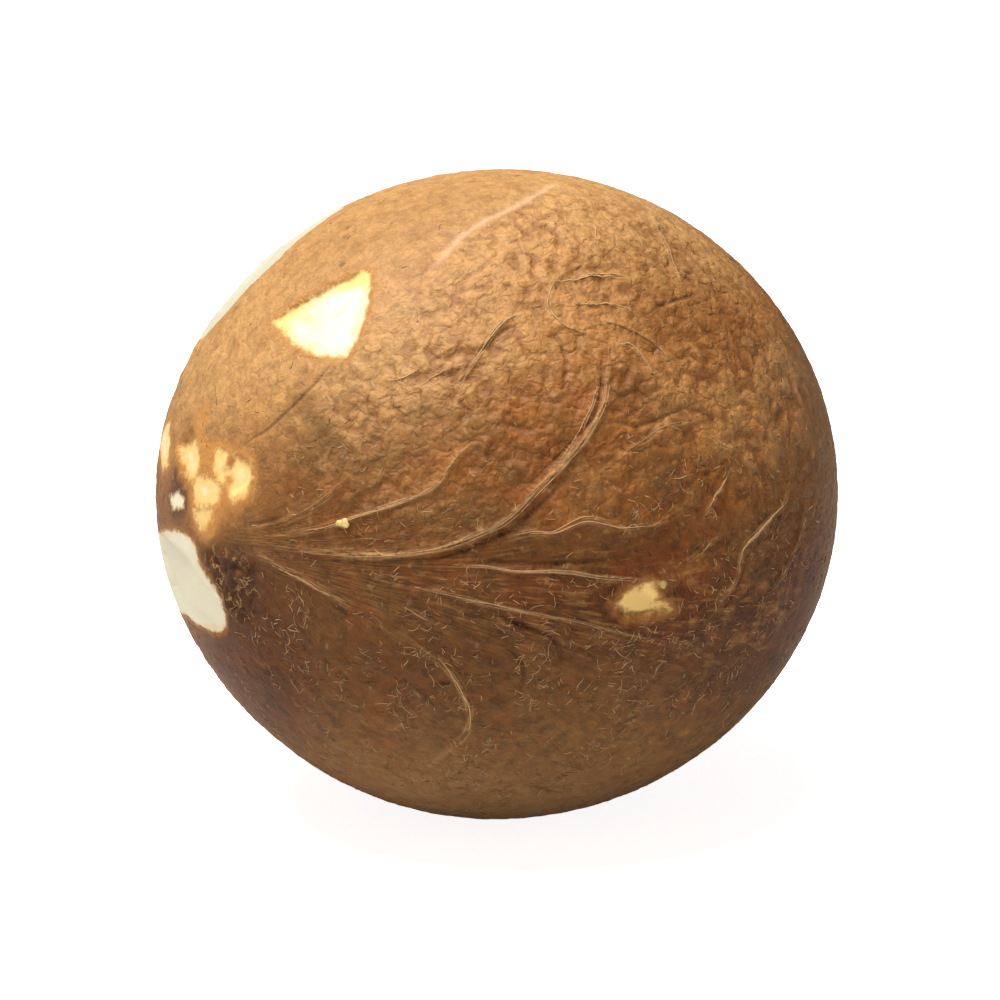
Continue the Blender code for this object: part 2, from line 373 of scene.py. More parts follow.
# Creases: sunk lines, darkened with painted shade.
CREASES = {
    "beside_main": Line(
        ((80.5, 54), (78.5, 59), (76.5, 63.5), (73, 66.8), (69, 70), (63, 74.5)), 0.35, -0.2, -0.6, 0, Layer.SECOND
    ),
    "left_shoulder": Line(
        ((19, 30), (23.5, 34), (26, 36), (30, 36.3), (34, 36), (38, 35), (42, 33)), 0.35, -0.3, -0.5
    ),
    "below_band": Line(
        ((56, 96.5), (59, 97.5), (62, 99), (65, 100.3), (67.5, 102), (68.7, 105), (69.2, 109)), 0.5, -0.35, -0.8
    ),
    "below_band_small": Line(((60, 104), (62, 105.5), (63.3, 108.5), (64, 113)), 0.4, -0.3, -0.6),
    "crown_cross": Line(((93, 47), (97, 46), (103, 44.5)), 0.45, -0.3, -0.6, 0, Layer.SECOND),
    "left_of_eye": Line(((15, 71), (19, 71.8), (23, 71.5)), 0.45, -0.35, -0.8, 0, Layer.SECOND),
    "groove": Line(((55, 86.5), (60, 87.5), (70, 88), (80, 87.5)), 0.5, -0.3, -0.6),
    "under_main": Line(
        ((46, 86.8), (52, 85), (57, 82.8), (62, 80), (67, 76), (71, 72.5)), 0.45, -0.3, -0.5, 0, Layer.SECOND
    ),
    "under_right": Line(((101, 91), (99.8, 95), (96, 100)), 0.4, -0.3, -0.6, 0, Layer.SECOND),
    "shoulder_side": Line(((56, 55), (60, 49.5), (66, 46), (69, 45)), 0.4, -0.25, -0.5, 0, Layer.SECOND),
    "low_crack": Line(((72, 138), (76, 139.5), (80, 141)), 0.4, -0.25, -0.6),
    "middle": Line(((79.5, 66), (83, 67), (88, 66), (95, 64.5)), 0.4, -0.25, -0.5, 0, Layer.SECOND),
    "upper_left": Line(((62, 35), (66, 32), (69, 31.5), (73, 29)), 0.5, -0.25, -0.35),
    "upper_middle": Line(((74, 47), (74.5, 51), (74, 55), (72.5, 58)), 0.4, -0.25, -0.5, 0, Layer.SECOND),
}
NICKS = {
    "shoulder": Nick(((38, 5), (46, 11), (52, 15), (55, 19), (51, 27), (46, 33), (43, 36), (40, 27), (38, 17))),
    "stroke_low": Nick(((36, 324), (35, 337), (39, 340), (46, 344.5), (48, 332), (43, 318)), -0.2, 0.2),
    "stroke_middle": Nick(((46, 318), (46.5, 344), (52, 346), (58, 346), (59, 330), (52, 322)), -0.2, 0.2),
    "stroke_high": Nick(((58, 328), (57.5, 346), (64, 346), (69, 344), (69, 338), (64, 333)), -0.2, 0.2),
    "eye_left": Nick(((19, 262), (11, 256), (5, 225), (5.5, 190), (12, 203), (16, 207), (19.5, 228), (20, 250))),
    "eye_right": Nick(((6, 188), (9, 153), (11.5, 149), (14.5, 152), (16.5, 158), (16.5, 168), (16.5, 211))),
    "band": Nick(((76.5, 96.5), (79, 93.5), (81, 93), (83, 95), (85.5, 97.5), (81.5, 98.3), (77, 98.3))),
    "scrape_left": Nick(((17.5, 328), (18.5, 343), (13, 351), (9.5, 338), (10, 322))),
    "scrape_right": Nick(((14, 28), (18.5, 31), (20, 41), (18.5, 50), (14, 47))),
    "back_high": Nick(((60, 246), (67, 241), (75, 246), (77, 256), (69, 259), (62, 255))),
    "back_low": Nick(((102, 212), (108, 206), (116, 209), (118, 218), (110, 223), (104, 219))),
    "far_end": Nick(((158, 300), (166, 290), (170, 240), (165, 215), (158, 235), (155, 270))),
}
PATCHES = (
    Patch(
        ((38.9, 6), (42.3, 8.6), (46.5, 11.8), (51, 14.8), (54.4, 16.9), (54.8, 18.8), (52.7, 23), (50.4, 26.4),
         (47, 31.5), (43.6, 34.6), (41.5, 32), (39.5, 28.2), (38.4, 21.2), (38.2, 12)),
        0.72, 0.7, 0.75, 0.98,
    ),
    Patch(
        rounded(
            ((39.5, 318), (41.5, 328), (43.3, 335.5), (45.3, 341), (48.7, 345.4), (54.1, 346.2), (61, 346),
             (67.3, 345.5), (68.5, 337), (61, 321), (47, 306), (40.5, 309))
        ),
        0.9, 0.4, 0.9, 0.7,
    ),
    Patch(
        rounded(
            ((25, 257), (13.2, 264), (6, 271), (1.6, 274), (1.6, 141), (4, 157), (6.8, 142.3), (9.8, 141.5),
             (12.4, 144.8), (14.5, 152.6), (16.3, 163.7), (16.6, 177), (17, 193.5), (19.8, 214), (24, 222), (28, 236))
        ),
        0.95, 0.45, 0.6, 0.93,
    ),
    Patch(
        ((76.7, 95.8), (77.8, 97.5), (80, 98), (82.6, 97.9), (84.3, 98), (86.2, 97.7), (85.4, 96.9), (83.6, 96),
         (83.7, 94.6), (83, 93), (81.8, 92.5), (80.5, 93.1), (79.2, 93.6), (77.9, 94.3)),
        -0.3, 0.8, 0.6, 1.0,
    ),
    Patch(((83.4, 92.6), (84.2, 92.2), (85, 93.2), (84.5, 94.1), (83.6, 93.8)), 0.1, 0.3, 0.3, 0.7),
    Patch(((25, 314), (18.5, 314), (15.8, 309), (18, 298), (28, 296)), 0.3, 0.8, 0.8),
    Patch(((17, 326), (16.6, 352), (13.2, 2), (9.6, 1), (11, 330)), 0.25, 0.9),
    Patch(((16.8, 15), (17.6, 26), (15.2, 35), (12.6, 34), (13.4, 20)), 0.15, 0.8),
    Patch(
        ((17.9, 31), (20.2, 41.4), (19.8, 48), (17.2, 54.5), (13.6, 54), (13.6, 43.1), (15.7, 34)), 0.2, 0.9
    ),
    Patch(((10.6, 356), (12, 20.9), (12.9, 38), (10.5, 46), (6.6, 31), (6, 0)), 0.15, 1.0),
    Patch(((5.1, 4.2), (9, 44), (7.3, 56), (4.1, 60), (3.3, 18)), 0.05, 1.0, 1.0, 0.95),
    Patch(((11.4, 298), (10, 306), (9.2, 319), (6.8, 334), (5.4, 326), (6.6, 304), (8.6, 291)), 0.95, 0.6, 0.0),
    Patch(rounded(NICKS["back_high"].corners), 0.9, 0.7),
    Patch(rounded(NICKS["back_low"].corners), 0.6, 0.8),
    Patch(rounded(NICKS["far_end"].corners), 0.8, 0.7),
)
VEIL = blobs(
    (54.5, 17.8, 1.5, 1), (52.4, 17.5, 1.4, 0.9), (49, 14.5, 1.3, 0.4), (43.5, 11, 1.8, 0.5), (39, 8, 2.2, 0.75),
    (42.5, 15.5, 0.9, 0.6), (37.5, 24, 1.6, 0.35), (42.5, 19, 1.2, 0.25), (85, 97.2, 1, 0.5), (83.5, 95, 0.6, 0.4),
)
BRUISE = blobs((8, 304, 2.4, 1), (8.6, 326, 2, 0.8), (11.5, 318, 1.6, 0.8), (13.7, 8, 1, 0.3))
PITS = blobs(
    (53.1, 10.2, 0.4, 1), (60, 359.3, 0.35, 0.8), (57.9, 1.9, 0.4, 0.7), (32.9, 343.6, 0.35, 0.9),
    (40.2, 343, 0.3, 0.6), (68, 357, 0.35, 0.6), (101, 52, 0.7, 0.9), (50, 352, 0.35, 0.5),
)
SCAR = Line(((95, 11), (93, 12), (85, 17), (80, 19), (74, 20.5), (70, 22), (65, 25), (59, 29)), 0.55, -0.06, 1.0)
GLOW = blobs(
    (20.4, 351.6, 1.5, 1), (14, 350, 2.6, 0.8), (13.5, 10, 2.6, 0.9), (15, 40, 4.2, 0.9), (8, 30, 3.4, 0.9),
    (5, 50, 2.2, 0.8), (20, 302, 4, 0.5), (86.5, 92.5, 2.2, 0.35), (91, 90.5, 2.4, 0.4), (79, 99, 1.2, 0.3),
    (97, 126, 1.6, 0.45), (105.5, 69, 0.9, 0.7), (107, 66, 0.8, 0.6), (110, 215, 4, 0.6),
)
KNOBS = blobs((83.2, 56.5, 2, 0.5), (87, 61, 1.6, 0.3), (84, 93.2, 0.7, 0.35), (61, 45, 2.4, 0.3), (76, 79, 3, 0.25))
GOLD = blobs(
    (48, 345, 26, 0.9), (72, 5, 24, 0.9), (92, 16, 18, 0.8), (85, 36, 12, 0.5), (60, 34, 14, 0.45),
    (100, 300, 40, 0.35), (92, 64, 9, 0.25), (106, 68, 9, 0.25), (121, 62, 7, 0.4), (72, 77, 5, 0.3),
    (104, 74, 6, 0.25), (46, 76, 5, 0.3), (88, 62, 6, 0.15), (36, 52, 7, 0.25), (114, 34, 8, 0.25), (16, 62, 5, 0.3),
)
RUSSET = blobs(
    (65, 58, 6, 0.3), (78, 60, 6, 0.35), (70, 71, 7, 0.3), (84, 88, 6, 0.7), (84.5, 96, 4, 0.9), (95, 96, 6, 0.35),
    (97, 118, 9, 0.15), (50, 4, 3, 0.45), (76, 94, 4, 0.5), (62, 94, 5, 0.5), (46, 92, 5, 0.4), (32, 90, 5, 0.35),
    (50, 78, 6, 0.2), (90, 62, 5, 0.15), (98, 60, 4, 0.3), (20, 25, 7, 0.3), (18, 68, 5, 0.4), (106, 69, 4, 0.6),
    (117, 102, 8, 0.5), (84, 99, 4, 0.3), (75, 300, 10, 0.4),
)
OLIVE = blobs(
    (60, 125, 34, 0.5), (100, 125, 30, 0.5), (30, 110, 18, 0.4), (32, 40, 7, 0.6), (125, 92, 14, 0.7),
    (126, 66, 7, 0.4), (85, 180, 60, 0.5), (150, 200, 40, 0.4),
)
FUZZY = blobs(
    (33, 116, 8, 0.9), (46, 116, 9, 0.8), (72, 112, 8, 0.6), (100, 82, 9, 0.9), (84, 78, 8, 0.6), (52, 130, 10, 0.5),
    (92, 120, 14, 0.4),
)
CRUST = blobs((11, 122, 4, 0.9), (14.5, 104, 3, 0.8), (15, 128, 3, 0.7), (6, 120, 2.5, 0.7))
LEATHER = blobs(
    (82, 42, 15, 0.9), (98, 45, 16, 0.9), (84, 68, 13, 0.7), (60, 60, 13, 0.6), (36, 66, 12, 0.5), (108, 70, 16, 0.8),
    (94, 80, 12, 0.5), (70, 78, 11, 0.4), (50, 70, 11, 0.3), (65, 120, 30, 0.32), (38, 120, 12, 0.3),
    (60, 127, 15, 0.25), (90, 280, 60, 0.5),
)
MATTED = blobs(
    (60, 118, 26, 0.9), (95, 118, 24, 0.8), (35, 105, 14, 0.7), (102, 88, 8, 0.6), (36, 45, 8, 0.5),
    (100, 190, 60, 0.6),
)
# Darkening: partly the skin's own darker tone, partly painted shade on the right side and underneath.
DIM_TONE_AND_SHADE = blobs(
    (90, 47, 9, 0.55), (103, 33, 8, 0.32), (68, 46, 7, 0.22), (57, 8, 12, 0.24), (79, 9, 8, 0.25), (34, 78, 9, 0.3),
    (59, 83, 8, 0.24), (72, 97, 7, 0.65), (57, 96, 7, 0.25), (84, 93, 6, 0.3), (20, 118, 8, 0.5), (26, 167, 11, 1),
    (32, 128, 9, 0.25), (49, 111, 9, 0.5), (66, 116, 8, 0.2), (71, 131, 11, 0.3), (84, 98, 5, 0.3), (104, 48, 7, 0.3),
    (32, 168, 8, 0.3), (62, 150, 6, 0.2), (50, 120, 7, 0.2), (117, 103, 10, 1.1), (98, 109, 9, 0.7),
    (111, 119, 9, 0.5), (83, 107, 7, 0.35),
)
# Partly a dusting, partly painted bounce light: most of it lightens and greys the bottom rim where light from the floor
# falls.
DUST_AND_BOUNCE = blobs((60, 160, 12, 0.45), (78, 150, 15, 0.6), (92, 152, 11, 0.35), (121, 58, 8, 0.45))
WARM = blobs(
    (78, 48, 12, 0.6), (94, 58, 12, 0.35), (84, 94, 8, 1.6), (72, 95, 8, 0.6), (118, 100, 9, 1), (103, 103, 9, 0.7),
    (60, 92, 12, 0.4), (36, 98, 12, 0.4), (16, 88, 8, 0.4), (26, 165, 9, 0.6), (20, 118, 8, 0.4),
)


# The kernel's shape


@dataclass(frozen=True)
class Reach:
    """How places lie along a line: signed distance across it, distance along it, and what is left of it there."""

    across: Array
    ahead: Array
    share: Array


@dataclass(frozen=True)
class KernelForm:
    """The kernel's surface as a function of direction: an egg-round ball with every relief added outwards.

    Args:
        lines: every vein and crease.
        length: eye end to far end, along X.
        width: front to back.
        height: top to bottom, before the resting spot is flattened.
        resting_cut: how much the resting spot takes off the bottom.
    """

    lines: tuple[Line, ...]
    length: float = 106.0
    width: float = 100.0
    height: float = 100.0
    resting_cut: float = 0.7
    band_height: float = 0.45
    band_half_width: float = 5.0
    band_start: Place = (4, 16)
    band_end: Place = (135, 100)
    back_band_end: Place = (178, 150)
    back_band_share: float = 0.6
    sweep_start: float = 45.0
    sweep_rate: float = 0.026
    line_end_share: float = 0.18
    line_end_height: float = 0.25
    route_steps: int = 14
    pillow_size: float = 3.3
    crest_size: float = 2.8
    gap_size: float = 7.0
    wrinkle_height: float = 0.34
    least_leather: float = 0.14
    warp: float = 1.3
    warp_size: float = 3.6
    rib_height: float = 0.16
    rib_length: float = 14.0
    rib_width: float = 0.9
    reach_above: float = 10.0
    reach_below: float = 8.0
    crust_height: float = 0.7
    crust_size: float = 1.7
    pit_depth: float = 0.35
    nick_wall: float = 0.35
    nick_ripple: float = 0.06

    @property
    def half_sizes(self) -> Array:
        """The ball's three half sizes."""
        return np.array([self.length, self.width, self.height]) / 2

    @property
    def radius(self) -> float:
        """The radius used to turn angles into distances over the ball."""
        return self.width / 2

    def reach(self, points: Array, route: tuple[Place, ...]) -> Reach:
        """Where each direction lies against a route, from the nearest point of its smooth curve.

        Args:
            points: unit vectors.
            route: the places that the line passes.

        Returns:
            The distance across (above zero on the upper side of a line that runs towards +X), the distance
            along, and the share of the line's height that is left there.
        """
        curve = smooth_curve(route, self.route_steps)
        forward = unit(np.gradient(curve, axis=0))
        side = unit(np.cross(curve, forward))
        nearest = (points @ curve.T).argmax(axis=1)
        away = points - curve[nearest]
        across, onward = ((away * axis[nearest]).sum(axis=1) * self.radius for axis in (side, forward))
        steps = np.linalg.norm(np.diff(curve, axis=0), axis=1) * self.radius
        ahead = np.concatenate([[0], np.cumsum(steps)])[nearest] + onward
        beyond = np.where((nearest == 0) | (nearest == len(curve) - 1), np.abs(onward), 0)
        across = np.copysign(np.hypot(across, beyond), across)
        from_end = np.minimum(nearest, len(curve) - 1 - nearest) / len(curve)
        return Reach(across, ahead, np.clip(from_end / self.line_end_share, self.line_end_height, 1))

    def band_offset(self, points: Array) -> tuple[Array, Array]:
        """Degrees round from the nearer of the two bands, and how strong that band is, from 0 to 1.

        Args:
            points: unit vectors from the kernel's middle.

        Returns:
            The degrees, above zero past the band, and the strength.
        """
        along, around = places_of(points)
        offsets = [
            (around - np.interp(along, *np.array(band, float).T) + 180) % 360 - 180 for band in (BAND, BACK_BAND)
        ]
        front = np.abs(offsets[0]) < np.abs(offsets[1])
        offset = np.where(front, *offsets)
        wide = offset * np.radians(1) * np.sin(np.radians(along)) * self.radius
        near = bell(wide / np.where(wide > 0, self.reach_below, self.reach_above)) * smoothstep(*self.band_start, along)
        ends = smoothstep(*self.band_end, along), self.back_band_share * smoothstep(*self.back_band_end, along)
        return offset, near * np.where(front, *ends)

    def flow(self, points: Array) -> Array:
        """Coordinates that follow the fibres, which leave each band and sweep away from it as they run on.

        The first is the distance along. The second is the offset from the band, divided by how far fibres have
        spread by there. The third is how strong the band is.

        Args:
            points: unit vectors from the kernel's middle.

        Returns:
            Three numbers for each point.
        """
        along, _ = places_of(points)
        offset, near = self.band_offset(points)
        spread = np.exp(self.sweep_rate * (along - self.sweep_start))
        return np.column_stack([np.radians(along) * self.radius, np.radians(offset / spread) * self.radius, near])

    def line_relief(self, points: Array, lines: tuple[Line, ...]) -> Array:
        """Round-backed lines: the highest of the raised ones, less the deepest of the sunk ones.

        Args:
            points: unit vectors from the kernel's middle.
            lines: veins and creases.

        Returns:
            A height for each point.
        """
        raised, sunk = np.zeros((2, len(points)))
        for line in lines:
            reach = self.reach(points, line.route)
            layer = raised if line.height > 0 else sunk
            np.maximum(layer, abs(line.height) * reach.share * bell(reach.across / line.half_width), out=layer)
        return raised - sunk

    def leather(self, points: Array) -> Array:
        """How strongly the skin is wrinkled, from the least to 1."""
        return np.clip(self.least_leather + blob_field(points, LEATHER), 0, 1)

    def wrinkles(self, points: Array) -> Array:
        """The skin's wrinkles, about -1 to 1.

        Pillows of two sizes, with dips between them that come and go, and sharp crests of a finer grain. The
        places are bent by soft noise first, so that no dip runs straight.

        Args:
            points: unit vectors from the kernel's middle.

        Returns:
            A number for each point.
        """
        place = points * self.half_sizes
        bend = [Noise(seed).layered(place / self.warp_size, 2) for seed in (11, 12, 13)]
        bent = place + self.warp * np.column_stack(bend)
        gone = smoothstep(-0.35, 0.3, Noise(14).soft(place / self.gap_size))
        large = smoothstep(0.0, 0.5, Noise(21).cells(bent / self.pillow_size))
        small = smoothstep(0.0, 0.6, Noise(23).cells(bent / self.pillow_size * 2.1))
        crests = Noise(22).ridged(bent / self.crest_size, 3)
        return (large - 1) * (0.2 + 0.8 * gone) + 0.35 * (small - 0.6) + 1.1 * (crests - 0.42) + 0.15

    def ribs(self, points: Array) -> Array:
        """Fine ribs of the bands, about -1 to 1: noise drawn out along the flow."""
        ahead, across, _ = self.flow(points).T
        return Noise(31).layered(np.column_stack([ahead / self.rib_length, across / self.rib_width, 0 * ahead]), 2)

    def relief(self, points: Array) -> Array:
        """How far the skin stands off the plain ball at each direction, before the nicks.

        Args:
            points: unit vectors from the kernel's middle.

        Returns:
            A height for each point.
        """
        bands = [Line(route, self.band_half_width, self.band_height, 0) for route in (BAND, BACK_BAND)]
        near = self.flow(points)[:, 2]
        total = blob_field(points, SWELLS)
        total += sum(self.line_relief(points, (band,)) for band in bands)
        total += self.line_relief(points, self.lines)
        total += self.line_relief(points, (SCAR,))
        total += self.wrinkle_height * self.leather(points) * (1 - 0.6 * near) * self.wrinkles(points)
        total += self.rib_height * near * self.ribs(points)
        crumbs = Noise(41).layered(points * self.radius / self.crust_size, 3)
        total += self.crust_height * soft_field(points, CRUST) * crumbs
        return total + (blob_field(points, KNOBS) - self.pit_depth * soft_field(points, PITS))

    def surface(self, points: Array) -> Array:
        """Where each direction meets the finished skin, in millimetres from the ball's middle.

        Args:
            points: unit vectors from the kernel's middle.

        Returns:
            Three numbers for each point.
        """
        outward = unit(points / self.half_sizes)
        place, _ = self.pared(points * self.half_sizes + outward * self.relief(points)[:, None])
        place[:, 2] = np.maximum(place[:, 2], -self.height / 2 + self.resting_cut)
        return place

    def pared(self, place: Array) -> tuple[Array, Array]:
        """Cuts every nick flat.

        Args:
            place: skin points.

        Returns:
            The cut points, and how far each is inside the nearest nick's edge.
        """
        place = place.copy()
        inside = np.full(len(place), -FAR)
        wander = Noise(51).layered(place / 2.2, 3)
        ripple = Noise(52).layered(place / 3.0, 2)
        for nick in NICKS.values():
            middle, normal, depth_in = self.inset(place, nick.corners)
            depth_in = depth_in + nick.ragged * wander
            ray = unit(place)
            level = middle @ normal - nick.depth + self.nick_ripple * ripple
            flat = ray * (level / np.maximum(ray @ normal, 0.2))[:, None]
            share = smoothstep(-self.nick_wall, self.nick_wall, depth_in)
            share = np.where(np.linalg.norm(flat, axis=1) < np.linalg.norm(place, axis=1), share, 0)
            place += (flat - place) * share[:, None]
            inside = np.maximum(inside, depth_in)
        return place, inside

    def inset(self, place: Array, outline: tuple[Place, ...]) -> tuple[Array, Array, Array]:
        """How far each point lies inside an outline of places, or outside it if below zero.

        The outline is laid on the plane nearest to its corners. The distance is to its nearest side, and a point
        is inside if the sides wind round it. Points round the back of the kernel count as far outside.

        Args:
            place: points.
            outline: the corners, in order.

        Returns:
            The middle of the corners, the plane's outward direction, and the distances.
        """
        corners = directions(outline) * self.half_sizes
        middle = corners.mean(axis=0)
        normal = np.linalg.svd(corners - middle)[2][2]
        normal = normal * np.sign(normal @ middle)
        first = unit(corners[0] - middle - ((corners[0] - middle) @ normal) * normal)
        axes = np.column_stack([first, np.cross(normal, first)])
        flat, ring = (place - middle) @ axes, (corners - middle) @ axes
        nearest = np.full(len(place), 99.0)
        crossings = np.zeros(len(place), int)
        for a, b in zip(ring, np.roll(ring, -1, axis=0)):
            side = b - a
            t = np.clip(((flat - a) @ side) / (side @ side), 0, 1)
            nearest = np.minimum(nearest, np.linalg.norm(flat - a - t[:, None] * side, axis=1))
            spans = (a[1] > flat[:, 1]) != (b[1] > flat[:, 1])
            crossings += spans & (flat[:, 0] < a[0] + (flat[:, 1] - a[1]) * side[0] / (side[1] or 1e-9))
        inset = np.where(crossings % 2 == 1, nearest, -nearest)
        return middle, normal, np.where(place @ normal > 0.8 * (middle @ normal), inset, -FAR)


# Grids and tubes


@dataclass(frozen=True)
class BallGrid:
    """Directions on six square grids, one for each side of a cube, drawn closer together on the side that shows.

    Args:
        facing: the direction that gets the finest cells.
        cells: cells along each side of a square.
        closeness: cell size there, as a share of the even size.
    """

    facing: tuple[float, float, float]
    cells: int = 128
    closeness: float = 0.62

    def build(self) -> tuple[Array, Array]:
        """The unit vectors of all grid points, with shared edges merged, and the quads between them.

        A square's point is its middle plus tan(angle) steps to each side, made unit length. The vectors are
        then turned towards facing: the tangent of half the angle from it is multiplied by closeness.

        Returns:
            The points and the quads.
        """
        step = np.tan(np.linspace(-np.pi / 4, np.pi / 4, self.cells + 1))
        u, v = np.meshgrid(step, step, indexing="ij")
        corner = np.arange((self.cells + 1) ** 2).reshape(self.cells + 1, -1)
        quad = np.stack([corner[:-1, :-1], corner[1:, :-1], corner[1:, 1:], corner[:-1, 1:]], -1).reshape(-1, 4)
        points, quads = [], []
        for axis, sign in itertools.product(range(3), (-1, 1)):
            middle = np.eye(3)[axis] * sign
            right = np.eye(3)[(axis + 1) % 3]
            up = np.cross(middle, right)
            points.append((middle + u[..., None] * right + v[..., None] * up).reshape(-1, 3))
            quads.append(quad + len(points[:-1]) * len(points[0]))
        every = unit(np.vstack(points))
        _, first, index = np.unique(np.round(every, 6), axis=0, return_index=True, return_inverse=True)
        return self._drawn(every[first]), index.reshape(-1)[np.vstack(quads)]

    def _drawn(self, points: Array) -> Array:
        """Turns unit vectors towards facing.

        Args:
            points: unit vectors, evenly spread.

        Returns:
            The turned unit vectors.
        """
        target = unit(np.array(self.facing))
        cosine = np.clip(points @ target, -1 + 1e-9, 1)
        away = unit(points - cosine[:, None] * target + 1e-12)
        half = self.closeness * np.sqrt((1 - cosine) / (1 + cosine))
        turned = (1 - half**2) / (1 + half**2)
        return turned[:, None] * target + np.sqrt(1 - turned**2)[:, None] * away


def tubes(paths: Array, normals: Array, radii: Array, flatness: float, sides: int) -> tuple[Array, list[Array]]:
    """Closed tubes along many paths at once.

    Args:
        paths: points, as tubes by steps by 3.
        normals: the surface's outward direction at each point, the same shape.
        radii: half width, as tubes by steps.
        flatness: height of the cross-section as a share of its width.
        sides: points round the cross-section.

    Returns:
        Points, and faces: the quads of the walls, then the two end caps of each tube.
    """
    count, steps, _ = paths.shape
    forward = unit(np.gradient(paths, axis=1))
    across = unit(np.cross(normals, forward))
    angle = np.arange(sides) * 2 * np.pi / sides + np.pi / 4
    ring = np.cos(angle)[:, None] * across[:, :, None] + flatness * np.sin(angle)[:, None] * normals[:, :, None]
    points = paths[:, :, None, :] + ring * radii[:, :, None, None]
    index = np.arange(count * steps * sides).reshape(count, steps, sides)
    after = np.roll(index, -1, axis=2)
    walls = np.stack([index[:, :-1], after[:, :-1], after[:, 1:], index[:, 1:]], -1).reshape(-1, 4)
    return points.reshape(-1, 3), [walls, index[:, 0, ::-1], index[:, -1]]


def add_object(name: str, data: ID) -> Object:
    """An object of the scene that shows a mesh, a light or a camera.

    Args:
        name: the object's name.
        data: what it shows.

    Returns:
        The object.
    """
    item = bpy.data.objects.new(name, data)
    bpy.context.scene.collection.objects.link(item)
    return item


def make_mesh(name: str, points: Array, faces: list[Array], smooth: bool = True) -> Object:
    """A mesh object at the origin, in metres, from points in millimetres and faces of any size.

    Args:
        name: the object's name.
        points: its corners, in millimetres.
        faces: tables of corner numbers, one table for each number of sides.
        smooth: whether its faces are shaded smooth.

    Returns:
        The object.
    """
    mesh = bpy.data.meshes.new(name)
    sizes = np.concatenate([np.full(len(group), group.shape[1]) for group in faces])
    corners = np.concatenate([group.reshape(-1) for group in faces])
    mesh.vertices.add(len(points))
    mesh.vertices.foreach_set("co", np.ascontiguousarray(points * MM, np.float32).ravel())
    mesh.loops.add(len(corners))
    mesh.loops.foreach_set("vertex_index", corners.astype(np.int32))
    mesh.polygons.add(len(sizes))
    mesh.polygons.foreach_set("loop_start", np.concatenate([[0], np.cumsum(sizes)[:-1]]).astype(np.int32))
    mesh.polygons.foreach_set("use_smooth", np.full(len(sizes), smooth))
    mesh.update(calc_edges=True)
    mesh.validate()
    return add_object(name, mesh)


def add_measure(piece: Object, name: str, values: Array) -> None:
    """Stores one number or one vector for each point of a piece's mesh.

    Args:
        piece: the object.
        name: the measure's name.
        values: one row for each point.
    """
    kind, key = ("FLOAT", "value") if values.ndim == 1 else ("FLOAT_VECTOR", "vector")
    measure = piece.data.attributes.new(name, kind, "POINT")
    measure.data.foreach_set(key, np.ascontiguousarray(values, np.float32).ravel())


# Materials


def sum_method(operation: str, turned: bool = False) -> Callable:
    """A method that adds the node for one sum on a value and another.

    Args:
        operation: the sum, by Blender's name for it.
        turned: whether the other comes first.

    Returns:
        The method.
    """

    def method(self: "Value", other: object = 0.0) -> "Value":
        """The result of the sum."""
        return self.graph.math(operation, *((other, self) if turned else (self, other)))

    return method


@dataclass(frozen=True)
class Value:
    """One output inside a node tree. Sums on it add nodes, so that a material reads as a list of sums."""

    graph: "Graph"
    socket: NodeSocket

    __add__ = sum_method("ADD")
    __radd__ = sum_method("ADD", turned=True)
    __sub__ = sum_method("SUBTRACT")
    __mul__ = sum_method("MULTIPLY")
    __truediv__ = sum_method("DIVIDE")
    __abs__ = sum_method("ABSOLUTE")
    at_least = sum_method("MAXIMUM")

    def rest(self) -> "Value":
        """One less this, kept from 0 to 1."""
        return self.graph.math("SUBTRACT", 1.0, self, clamp=True)

    def step(self, low: float, high: float, to: tuple[float, float] = (0.0, 1.0)) -> "Value":
        """A smooth step from one value to another as this goes from low to high."""
        inputs = {"Value": self, "From Min": low, "From Max": high, "To Min": to[0], "To Max": to[1]}
        return self.graph.value("MapRange", inputs, interpolation_type="SMOOTHSTEP")


